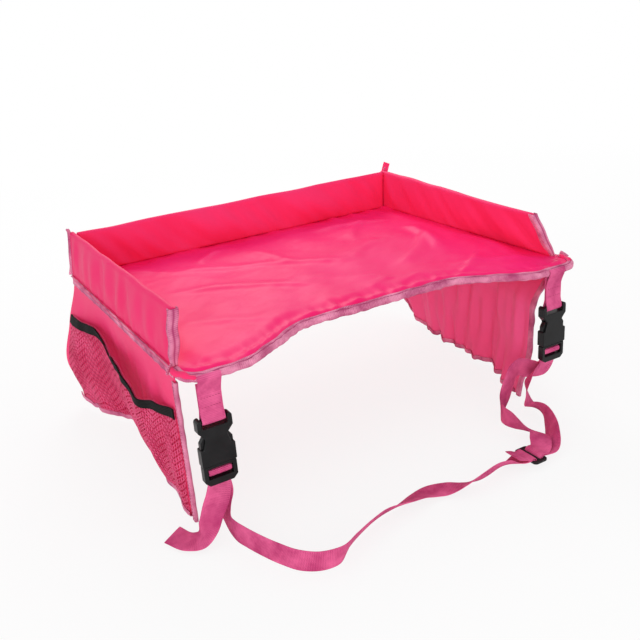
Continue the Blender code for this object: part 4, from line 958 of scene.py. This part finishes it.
def front_tape(v, out=0.0):
    """Arch section carried along the front edge, with its legs' ends and its face a little wavy."""
    path, outward_plan, run = front_path(FRONT_POINTS)
    run = run[:, None] + 0 * v
    wave = 0.0007 * wavy(run, 0.030, 61) + 0.0004 * wavy(run, 0.011, 62)
    h, reach = arch(v, EDGE_RADIUS + out, -TAPE_LEG, EDGE_RADIUS + out, 0.30)
    belly = np.clip(1 + reach / TAPE_LEG, 0, 1)
    reach = np.where((v < 0.5) & (reach < 0), reach * TOP_LEG / TAPE_LEG, reach)
    reach = reach + wave * belly - 0.00072 * wavy(run, 0.021, 63) * (1 - belly)
    h = h + 0.0004 * ripple(run, v, 0.016, 64) * belly - 0.0006 * bell(v - UPPER_SEAM, 0.03)
    spot = path[:, None] + outward_plan[:, None] * reach[..., None]
    return columns(spot[..., 0], spot[..., 1], EDGE_MIDDLE + h)


v = np.linspace(0, 1, 33)[None]
bind("front_edge_tape", front_tape(v), "tray", ["front_edge_binding"], FRONT_BINDING)
for label, share, up in (("upper", UPPER_SEAM, 1.0), ("lower", LOWER_SEAM, -1.0)):
    line = front_tape(np.array([[share]]), out=TAPE / 2)[:, 0]
    stitches(f"front_stitches_{label}", line, (0.0, 0.0, up), "tray")
print("front tape and its stitches made")

# %% Tape round the front ends of the side walls
END_LEG = 0.0040


def wall_end_tape(side, v, count=60, out=0.0):
    """Arch section that opens rearwards, carried up the wall's front end. Its nose is pressed flat,
    with a groove along its fold, and it narrows at its gathered foot."""
    wall = WALLS[side][0]
    radius = WALL_THICKNESS / 2 + GAP + TAPE / 2 + out
    tall = np.linspace(0, 1, count)[:, None] + 0 * v
    n, reach = arch(v, radius, -END_LEG, radius, 0.32)
    reach = np.where(reach > 0, 0.5 * reach, reach) - 0.0011 * bell(v - 0.5, 0.06)
    z = mix(WALL_FOOT, WALL_TOP - CLOTH, tall)
    n = n * (1 - 0.45 * smooth(1 - tall / 0.25)) + 0.0006 * wavy(z, 0.022, 71)
    points = wall(0 * z, n, z)
    points[..., 1] -= reach + 0.0009 * wavy(z, 0.030, 72) * smooth(1 - tall)
    return points


for side, sign in SIDES.items():
    bind(side + "_wall_end_tape", wall_end_tape(side, v), "tray", [side + "_wall_end_binding"], END_BINDING)
    for label, share, way in (("outer", 0.12, sign), ("inner", 0.88, -sign)):
        line = wall_end_tape(side, np.array([[share]]), out=TAPE / 2)[:, 0]
        stitches(f"{side}_end_stitches_{label}", line, (way, 0.0, 0.0), "tray")

# %% Bound seams of the rear corners, with their tails
CORNER_TAIL, CORNER_SUNK, CORNER_FOOT, CORNER_REACH = 0.0040, 0.0012, 0.0034, 0.0048


def corner_tape(side, sign):
    """A flat double tape on the diagonal of the corner, whose tail curls over the wall's top."""
    wall = WALLS[side][0]
    out, tall = spans(9, 70)
    z = mix(WALL_FOOT, WALL_TOP + CORNER_TAIL, tall)
    at = np.minimum(z, WALL_TOP)
    root = wall(np.ones_like(z), WALL_THICKNESS / 2 + 0 * z, at)
    reach = (-CORNER_SUNK + out * mix(CORNER_FOOT, CORNER_REACH, smooth(1 - tall / 0.2))) / math.sqrt(2)
    curl = 0.0012 * smooth((z - WALL_TOP) / CORNER_TAIL) + 0.0005 * ripple(z, out * 0.002, 0.024, 81)
    x = root[..., 0] + sign * (reach + curl)
    return columns(x, REAR_Y + reach - curl, z)


def tail(name, root, reach, bend, face, wide, thick, length):
    """A short strip whose middle runs as root + reach t + bend t^2 and whose face is turned."""
    sweep = np.linspace(0, 1, 24)[:, None]
    middle = np.array(root) + sweep * np.array(reach) + sweep**2 * np.array(bend)
    heading = unit(np.gradient(middle, axis=0))
    width = unit(np.cross(heading, face))
    return strip(name, middle, width, heading, sweep[:, 0] * length, wide, thick)


for side, sign in SIDES.items():
    bind(f"rear_{side}_corner_tape", corner_tape(side, sign), "tray", [f"rear_{side}_corner_binding"],
         thickness=2 * TAPE)

# The sleeves' spare cloth sticks out of the right corner's top as a short flap
FLAP_RISE, FLAP_WIDTH, FLAP_THICKNESS = 0.013, 0.0082, 0.0012
flap = tail("rear_right_corner_flap", (HALF_WIDTH, REAR_Y - 0.0010, WALL_TOP - 0.0040),
            (0.0030, 0.0, FLAP_RISE), (0.0016, 0.0, 0.0), (0.45, 0.85, 0.1),
            FLAP_WIDTH, FLAP_THICKNESS, FLAP_RISE)
finish_piece(flap, CLOTH_WALL, "tray")
print("end tapes and corner tapes made")

# %% Piping along the base's sides and rear


def piping(name, line, radius, body, wobble, seed, material=BINDING):
    """A soft cord along a line: a ring of 12 points around each, which a slow noise shifts. The
    radius is one number, or one for each point."""
    ahead = unit(np.gradient(line, axis=0))
    side = unit(np.cross(ahead, (0.0, 0.0, 1.0)))
    run = distances(line)
    middle = line + side * (wobble * wavy(run, 0.014, seed))[:, None]
    middle[:, 2] += wobble * wavy(run, 0.018, seed + 1)
    angle = np.linspace(0, 2 * np.pi, 12, endpoint=False)[None, :, None]
    girth = np.broadcast_to(radius, len(line))[:, None, None]
    points = middle[:, None] + girth * (np.cos(angle) * side[:, None] + np.sin(angle) * np.array((0, 0, 1.0)))
    faces, corners = quads(len(line), 12, closed=True)
    uv = np.stack([run[corners[..., 0]], corners[..., 1] * float(np.mean(radius)) * 0.52], -1)
    ends = np.array([(0, 1, 2, 3), (3, 4, 5, 6), (6, 7, 8, 9), (9, 10, 11, 0), (0, 3, 6, 9)])
    last = ends[:, ::-1] + 12 * (len(line) - 1)
    mesh = build_mesh(name, points, np.concatenate([faces, ends, last]),
                      np.concatenate([uv, np.zeros((10, 4, 2))]))
    return finish_piece(outward(mesh), material, body)


PIPE, PIPE_WOBBLE, SIDE_PIPE_Z, REAR_PIPE_Z = 0.0009, 0.00025, 0.0042, 0.0034
side_y = np.linspace(FRONT_Y - 0.003, REAR_Y - 0.002, 180)
for side, sign in SIDES.items():
    line = columns(sign * (HALF_WIDTH + PIPE + GAP), side_y, SIDE_PIPE_Z)
    piping(side + "_side_piping", line, PIPE, "tray", PIPE_WOBBLE, 91)
rear_x = np.linspace(-HALF_WIDTH + 0.002, HALF_WIDTH - 0.002, 220)
piping("rear_piping", columns(rear_x, REAR_Y + PIPE + GAP, REAR_PIPE_Z), PIPE, "tray", PIPE_WOBBLE, 95)
print("piping made")

# %% Bunched cloth and a tape's tail at the two front corners


def corner_bunch(side, reach, off, up, girth=0.0027):
    """Loose cloth that rolls over the tape between the wall's foot and the tab: a fat, uneven
    piping whose radius is the root of a half sine of its length, times a noise."""
    path, out, run = front_path(FRONT_POINTS)
    if side == "right":
        path, out = path[::-1], out[::-1]
    kept = run < reach
    share = run[kept] / reach
    line = np.column_stack([path[kept] + out[kept] * off, EDGE_MIDDLE + up - 0.0012 * share])
    radius = girth * np.sqrt(np.sin(np.pi * mix(0.02, 0.99, share)))
    radius = radius * (1 + 0.16 * wavy(run[kept], 0.009, 201))
    piping(side + "_corner_bunch", line, radius, "tray", 0.0006, 203, CLOTH_UNDER)


TAIL_WIDTH, TAIL_THICKNESS, TAIL_LENGTH = 0.0036, 0.0011, 0.0083
corner_bunch("left", 0.031, EDGE_RADIUS - 0.0010, 0.0026)
corner_bunch("right", 0.026, -0.0014, EDGE_RADIUS + 0.0002, 0.0023)
for side, sign in SIDES.items():
    root = np.array((sign * (HALF_WIDTH + 0.0008), FRONT_Y - 0.0045, WALL_FOOT + 0.0035))
    end = tail(side + "_tape_tail", root, (sign * 0.0062, -0.0042, -0.0035), (0.0, 0.0, -0.002),
               (sign * 0.5, 1.0, 0.3), TAIL_WIDTH, TAIL_THICKNESS, TAIL_LENGTH)
    finish_piece(end, BINDING, "tray")
print("corner bunches made")

# %% [markdown]
# ## The skirts
# A skirt hangs from the seam below each wall. The left one falls nearly straight and bellies at
# the back. The right one is drawn in under the tray at its front corner. Its folds are slow waves
# that grow towards the hem. Everything sewn on a skirt is worked out from the same function.

# %% Fall of the skirts
SEAM_RADIUS = CLOTH / 2 + GAP + TAPE
HINGE_X, HINGE_Z = HALF_WIDTH - SEAM_RADIUS, -(GAP + SEAM_RADIUS)
SKIRT_DEPTH, SKIRT_TIP_DROP, REAR_ROUND = 0.137, 0.004, 0.22
REAR_RISE = {"left": 0.006, "right": 0.026}
REAR_TAPER = {"left": 0.012, "right": 0.030}
LEFT_HEM_SWAY, LEFT_REAR_SWAY, RIGHT_HEM_SWAY, SKIRT_BELLY = 0.018, 0.010, 0.045, 0.009
LEFT_HEM = ((0, 0.75), (0.15, 0.3), (0.32, -1.0), (0.56, -0.72), (0.72, -0.25), (0.965, 0.0), (1.0, 0.0))
RIGHT_HEM = ((0, 0.05), (0.35, -0.25), (0.5, -0.42), (0.72, -0.42), (0.965, -1.0), (1.0, -1.0))
REAR_FALL = ((0, 0.0), (0.35, 0.2), (0.7, 1.0), (1, 0.4))
FRONT_FALL = ((0, 0.0), (0.33, 0.62), (0.62, 0.66), (1, 1.0))


def fall_depth(side, s):
    """Drop of the hem: less at the rounded rear corner, a little more at the front tip."""
    return (SKIRT_DEPTH - REAR_RISE[side] * np.clip(1 - s / REAR_ROUND, 0, 1) ** 2
            + SKIRT_TIP_DROP * np.clip(1 - (1 - s) / 0.2, 0, 1))


def left_sway(s, v):
    """How far the left skirt stands out from its hinge: a belly and a turned-out rear corner."""
    belly = SKIRT_BELLY * (1 - smooth(s / 0.5)) * np.sin(np.pi * v) ** 2
    rear = LEFT_REAR_SWAY * (1 - smooth(s / REAR_ROUND)) * from_table(REAR_FALL, v)
    return LEFT_HEM_SWAY * from_table(LEFT_HEM, s) * v + belly + rear


def right_sway(s, v):
    """The same for the right skirt, whose front is drawn in."""
    fall = mix(v, from_table(FRONT_FALL, v), np.minimum(1.0, s / 0.965) ** 2)
    return RIGHT_HEM_SWAY * from_table(RIGHT_HEM, s) * fall


SWAYS = {"left": (-1.0, left_sway, 0.0012, 110), "right": (1.0, right_sway, 0.0032, 120)}


def skirt_folds(side, s, v):
    """Slow vertical folds that grow downwards and die out at the bound front edge."""
    _, _, depth, seed = SWAYS[side]
    run = s * TRAY_DEPTH
    waves = ripple(run, v * 0.02, 0.046, seed) + 0.6 * ripple(run, v * 0.03, 0.021, seed + 1)
    return depth * waves * smooth((v - 0.04) / 0.45) * smooth((1 - s) / 0.06)


def skirt(side, s, v, out=0.0):
    """Point of a skirt: s from rear to front, v from seam to hem, out away from the tray."""
    sign, sway, _, _ = SWAYS[side]
    y = mix(REAR_Y - REAR_TAPER[side] * v * v, FRONT_Y, s)
    x = sign * (HINGE_X + sway(s, v) + skirt_folds(side, s, v) + out)
    gather = 0.0009 * wavy(s * TRAY_DEPTH, 0.016, 131) * smooth((v - 0.6) / 0.4) * smooth((1 - s) / 0.05)
    return columns(x, y, HINGE_Z - v * fall_depth(side, s) - np.minimum(gather, 0.0008))


for side in ("left", "right"):
    s, v = spans(200, 100)
    piece = finish_piece(surface(side + "_skirt_cloth", skirt(side, s, v)), CLOTH_SKIRT, side + "_skirt",
                         [side + "_skirt"], CLOTH)
    depth = float(fall_depth(side, np.linspace(0, 1, 200)).mean())
    depth * (TRAY_DEPTH - REAR_TAPER[side] / 3)
print("skirts made")

# %% [markdown]
# ## Net pockets
# A net panel is sewn to each skirt along its ends and hem, and its mouth has a black elastic,
# which hangs in slack waves. The net is real geometry: each cell of the grid is a ring of four
# quads round a hole, and the rows run in zigzags, as the knitted net's do.

# %% Shape of a pocket
POCKET_ENDS = (0.03, 0.965)
# Drop of the pocket's mouth below the hinge, in metres, against the share from rear to front
LEFT_MOUTH = ((0, 0.034), (0.14, 0.031), (0.26, 0.028), (0.36, 0.038), (0.44, 0.042), (0.55, 0.035),
              (0.63, 0.040), (0.70, 0.047), (0.78, 0.048), (0.88, 0.042), (1.0, 0.0365))
RIGHT_MOUTH = ((0, 0.040), (0.3, 0.043), (0.55, 0.040), (0.8, 0.044), (1.0, 0.040))
LEFT_BULGE = ((0, 0.0), (0.12, 0.35), (0.30, 0.40), (0.45, 0.75), (0.60, 1.0), (0.75, 0.85), (1.0, 0.0))
RIGHT_BULGE = ((0, 0.0), (0.25, 0.8), (0.5, 1.0), (0.75, 0.8), (1.0, 0.0))
POCKETS = {"left": (LEFT_MOUTH, LEFT_BULGE, 0.013), "right": (RIGHT_MOUTH, RIGHT_BULGE, 0.010)}
SEATED = CLOTH / 2 + GAP + 0.0006


def pocket(side, t, w, out=0.0):
    """Point of a net: t from rear to front between its sewn ends, w from mouth to hem. It stands
    off the skirt by a belly, sin(pi w), and by its slack mouth, (1 - w)^2, along the bulge."""
    mouth, bulge, slack = POCKETS[side]
    s = mix(*POCKET_ENDS, t)
    top = from_table(mouth, t) / fall_depth(side, s)
    off = slack * from_table(bulge, t) * (0.85 * np.sin(np.pi * np.clip(w, 0, 1)) + (1 - w) ** 2)
    folds = 0.0008 * (1 + ripple(t * 0.28, w * 0.04, 0.040, 141)) * np.sin(np.pi * t) * (1 - w)
    return skirt(side, s, mix(top, 0.997, w), SEATED + off + folds + out)


ZIGZAG_CELLS, ZIGZAG_ROWS, LEVEL_SHARE, CORD_SHARE = 8, 3.2, 0.14, 0.34


def net_mesh(name, side):
    """A net of cells. Each cell's four corners are drawn towards its middle by one less the cord
    share, and the ring between them and the cell's edge is the cord. The rows rise and fall in
    steep zigzags, which make the knit's herringbone."""
    t, w = spans(NET_COLUMNS + 1, NET_ROWS + 1)
    zig = np.abs(((t * NET_COLUMNS / ZIGZAG_CELLS) % 1.0) * 2 - 1) - 0.5
    leaning = w + ZIGZAG_ROWS / NET_ROWS * zig * smooth(w / LEVEL_SHARE) * smooth((1 - w) / LEVEL_SHARE)
    outer = pocket(side, t, leaning)
    count_u, count_v = outer.shape[:2]
    faces, _ = quads(count_u, count_v)
    flat = outer.reshape(-1, 3)
    cell = flat[faces]
    middle = cell.mean(axis=1, keepdims=True)
    inner = middle + (cell - middle) * (1 - CORD_SHARE)
    number = len(flat) + np.arange(len(faces) * 4).reshape(-1, 4)
    ring = np.stack([faces, np.roll(faces, -1, 1), np.roll(number, -1, 1), number], -1)
    points = np.concatenate([flat, inner.reshape(-1, 3)])
    ring = ring.reshape(-1, 4)
    spread = columns(t * TRAY_DEPTH, w * NET_DROP).reshape(-1, 2)
    spread = np.concatenate([spread, spread[faces].reshape(-1, 2)])
    return build_mesh(name, points, ring, spread[ring])


BAND, BAND_THICK, CORD_RADIUS = 0.0085, 0.0011, 0.00035


def elastic_band(side):
    """Band over the mouth: it stands on the net's outer face and leans out at its free edge."""
    t, w = spans(240, 12)
    drop = w * BAND / NET_DROP
    lean = 0.0012 * (1 - w) * np.sin(np.pi * t)
    return pocket(side, t, drop, CORD_RADIUS + GAP + BAND_THICK / 2 + lean)


for side in ("left", "right"):
    net = finish_piece(net_mesh(side + "_net", side), NET, side + "_skirt",
                       [side + "_mesh_pocket"], 0.0006)
    finish_piece(surface(side + "_elastic", elastic_band(side)), ELASTIC, side + "_skirt",
                 [side + "_pocket_elastic"], BAND_THICK)
    print(side, "net polygons", len(net.data.polygons))

# %% Tape on the skirts
SKIRT_TAPE, SEAM_LEG, EDGE_LEG, HEM_LEG = CLOTH / 2 + GAP + TAPE / 2, 0.0036, 0.0042, 0.0040


def seam_tape(side, v, count=260, out=0.0):
    """Arch section over the skirt's top edge, whose legs lie on both its faces."""
    s = np.linspace(0, 1, count)[:, None] + 0 * v
    off, up = arch(v, SKIRT_TAPE + out, -SEAM_LEG, SKIRT_TAPE + out, 0.34)
    wave = 0.0004 * wavy(s * TRAY_DEPTH, 0.013, 151) * np.clip(-up / 0.004, 0, 1)
    spot = skirt(side, s, np.maximum(0.0, -(up + wave)) / fall_depth(side, s),
                 off + np.sign(off) * np.abs(wave) * 0.3)
    spot[..., 2] = HINGE_Z + up + wave
    return spot


def edge_tape(side, v, count=150, out=0.0):
    """Arch section over the skirt's front edge, from just below the seam down to the hem."""
    down = np.linspace(0.055, 1.0, count)[:, None] + 0 * v
    off, reach = arch(v, SKIRT_TAPE + out, -EDGE_LEG, SKIRT_TAPE + out, 0.34)
    wave = 0.0006 * wavy(down * SKIRT_DEPTH, 0.020, 152)
    spot = skirt(side, 1 - np.maximum(0.0, -reach) / TRAY_DEPTH, down, off * 1.25)
    spot[..., 1] = FRONT_Y - reach - wave * np.clip(1 + reach / EDGE_LEG, 0, 1)
    return spot


def hem_tape(side, v, count=320):
    """Narrow arch section along the hem, from the rear seam round the rounded corner to the front.
    Its section lies in the plane of the cloth, so it wraps the raw edge."""
    s = np.linspace(0.004, POCKET_ENDS[1], count)[:, None] + 0 * v
    off, reach = arch(v, SKIRT_TAPE + 0.0008, -HEM_LEG, 0.0012, 0.34)
    spot = skirt(side, s, 1 + np.minimum(0.0, reach) / fall_depth(side, s), off + 0.0005)
    spot[..., 2] -= np.maximum(0.0, reach) - 0.0004 * wavy(s * TRAY_DEPTH, 0.012, 153)
    return spot


# Where the stitches lie across each tape, as a share of its section
SEAM_STITCH, EDGE_STITCH = 0.11, 0.12
v = np.linspace(0, 1, 25)[None]
for side, sign in SIDES.items():
    body = side + "_skirt"
    bind(side + "_seam_tape", seam_tape(side, v), body, [side + "_seam_binding"])
    bind(side + "_edge_tape", edge_tape(side, v), body, [side + "_skirt_front_binding"])
    bind(side + "_hem_tape", hem_tape(side, v), body)
    for label, make, share in (("seam", seam_tape, SEAM_STITCH), ("edge", edge_tape, EDGE_STITCH)):
        line = make(side, np.array([[share]]), out=TAPE / 2)[:, 0]
        stitches(f"{side}_{label}_stitches", line, (sign, 0.0, 0.0), body)
print("skirt tapes made")

# %% [markdown]
# ## Tabs
# Each socket hangs on a tab: webbing folded round the socket's bar, with both layers sewn together
# and fixed over the bound edge of the lobe. The part over the edge stays with the tray, and the
# rest swings with the socket.

# %% Tabs and their anchors
TAB_Z, APRON, FOLD_LIFT = -0.0028, 0.0105, 0.009
BAR_Z, BAR_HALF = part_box("left_socket")[1][2] - 0.0025, 0.0018
TAB_FACE_Y, TAB_SEAM_HALF = BUCKLE_Y - WEB_CLEAR - WEB_THICKNESS / 2, 0.0085
TAB_PITCH, TAB_STITCH = 0.0022, 0.0017


def tab_path():
    """Side view of a tab as (y, z) points: down in front, round the bar, and up behind. Its front
    layer starts below the apron that comes down from the bound edge."""
    loop = BAR_HALF + 2 * GAP + WEB_THICKNESS / 2
    angle = np.radians(np.linspace(168, 372, 22))
    ring = columns(loop * np.cos(angle), BAR_Z + loop * np.sin(angle))
    front = columns(-WEB_CLEAR, np.linspace(TAB_Z - APRON, BAR_Z + FOLD_LIFT, 14))
    rear = columns(WEB_CLEAR, np.linspace(BAR_Z + FOLD_LIFT, TAB_Z, 14))
    return np.concatenate([front, ring, rear])


def plain_strip(name, plan, x):
    """Webbing whose side view is the plan of (y, z) points, square to the buckle's width."""
    run = distances(plan)
    even = np.linspace(0, run[-1], max(20, int(run[-1] / 0.0008)))
    y, z = between(even, run, plan).T
    middle = columns(x, BUCKLE_Y + y, z)
    heading = unit(np.gradient(middle, axis=0))
    width = columns(1.0, 0 * y, 0.0)
    return strip(name, middle, width, heading, even)


edge_y = REACH_Y - BUCKLE_Y
apron_out = EDGE_RADIUS + TAPE / 2 + WEB_CLEAR
angle = np.radians(np.linspace(128, 200, 16))
APRON_PATH = np.concatenate([
    columns(edge_y + apron_out * np.cos(angle), EDGE_MIDDLE + apron_out * np.sin(angle)),
    [(-WEB_CLEAR - 0.0012, TAB_Z - 0.0045), (-WEB_CLEAR, TAB_Z - 0.0085), (-WEB_CLEAR, TAB_Z - APRON)]])
for side in ("left", "right"):
    x, body = BUCKLE_X[side], side + "_socket"
    finish_piece(plain_strip(side + "_tab_webbing", tab_path(), x), WEBBING, body, [side + "_tab"])
    apron = finish_piece(plain_strip(side + "_tab_apron", APRON_PATH, x), WEBBING, None)
    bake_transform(apron)
    for label, up in (("upper", 0.0125), ("lower", 0.0205)):
        line = columns(x + np.linspace(-TAB_SEAM_HALF, TAB_SEAM_HALF, 12), TAB_FACE_Y, TAB_Z - up)
        stitches(f"{side}_tab_stitches_{label}", line, (0.0, -1.0, 0.0), body, TAB_PITCH, TAB_STITCH)
print("tabs made")

# %% [markdown]
# ## Buckles, slider and boards
# The buckles and the slider are the CAD's own solids: they only need their finish. So do the
# boards of the base, the left wall and the rear wall, which show only where a seam would open.

# %% Finish of the carried-over solids
for name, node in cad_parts.items():
    if name.endswith("board"):
        chosen = BOARD
    elif any(word in name for word in ("socket", "plug", "glide")):
        chosen = MOULDED
    else:
        continue
    for place in node.material_slots:
        place.material = chosen
print("solids finished")

# %% [markdown]
# ## Floor and light
# The studio is a pale sweep under an even sky, with three weak, soft lamps. The camera sees the
# floor partly as plain white light, so that it stays nearly white and still keeps a faint shadow.

# %% Rays and mixed shaders


def shown_rays(tree):
    """1 for the rays that the camera sees directly, in a mirror or through something, else 0."""
    paths = tree.nodes.new("ShaderNodeLightPath")
    kinds = [Wire(tree, paths.outputs[f"Is {kind} Ray"]) for kind in ("Camera", "Glossy", "Transmission")]
    return (kinds[0] + kinds[1] + kinds[2]).clamp()


def white(node, strength):
    """Give an Emission or Background node white light of a strength."""
    node.inputs["Color"].default_value = (1.0, 1.0, 1.0, 1.0)
    node.inputs["Strength"].default_value = strength
    return node.outputs[0]


def mixed(tree, share, first, second, output):
    """Send the first shader where the share is 0, and the second where it is 1, to the output."""
    blend = tree.nodes.new("ShaderNodeMixShader")
    for place, socket in zip(blend.inputs, (share.socket, first, second)):
        tree.links.new(socket, place)
    tree.links.new(blend.outputs[0], tree.nodes[output].inputs["Surface"])


# %% Floor
FLOOR_GAP, SPREAD = 0.0012, 6.0
FLOOR_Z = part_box("right_skirt")[0][2] - FLOOR_GAP
FLOOR_GLOW, SWEEP_START, SWEEP_RISE = 0.86, 0.45, 0.12


def studio_floor():
    """A pale floor that the shown rays see partly as plain white, more so further off."""
    finish = Finish("studio_floor", (0.92, 0.92, 0.92), roughness=0.9, specular_ior_level=0.1)
    far = finish.node("VectorMath", {"operation": "LENGTH"}, {0: finish.place()}, "Value")
    share = shown_rays(finish.tree) * (FLOOR_GLOW + (far - SWEEP_START) * SWEEP_RISE).clamp()
    glow = white(finish.tree.nodes.new("ShaderNodeEmission"), 1.0)
    mixed(finish.tree, share, finish.shader.outputs[0], glow, "Material Output")
    return finish.material


ground = bpy.data.meshes.new("studio_floor")
ground.from_pydata([(x * SPREAD, y * SPREAD, FLOOR_Z) for x, y in ((-1, -1), (1, -1), (1, 1), (-1, 1))],
                   [], [(0, 1, 2, 3)])
ground.materials.append(studio_floor())
link("studio_floor", ground)

# %% World and lamps
world = bpy.data.worlds.new("studio")
world.use_nodes = True
bpy.context.scene.world = world
SKY_STRENGTH = 0.72
sky = world.node_tree
mixed(sky, shown_rays(sky), white(sky.nodes["Background"], SKY_STRENGTH),
      white(sky.nodes.new("ShaderNodeBackground"), 1.0), "World Output")


def lamp(name, place, target, size, power):
    """A square soft lamp at a place that faces a target point."""
    data = bpy.data.lights.new(name, "AREA")
    data.size, data.energy = size, power
    away = unit(np.array(place) - np.array(target))
    side = unit(np.cross((0.0, 1.0, 0.001), away))
    set_down(link(name, data), side, np.cross(away, side), away, place)


# Place and target in metres, then the side of the square in metres and the power in watts
lamp("window_rear", (0.35, 1.15, 0.95), (0.0, 0.0, 0.0), 0.65, 6.8)
lamp("window_left", (-1.5, -0.45, 0.75), (-0.1, 0.0, 0.0), 0.8, 0.8)
lamp("fill_front", (-0.75, -1.4, 0.10), (0.15, 0.0, -0.05), 1.2, 10.2)
print("studio ready")
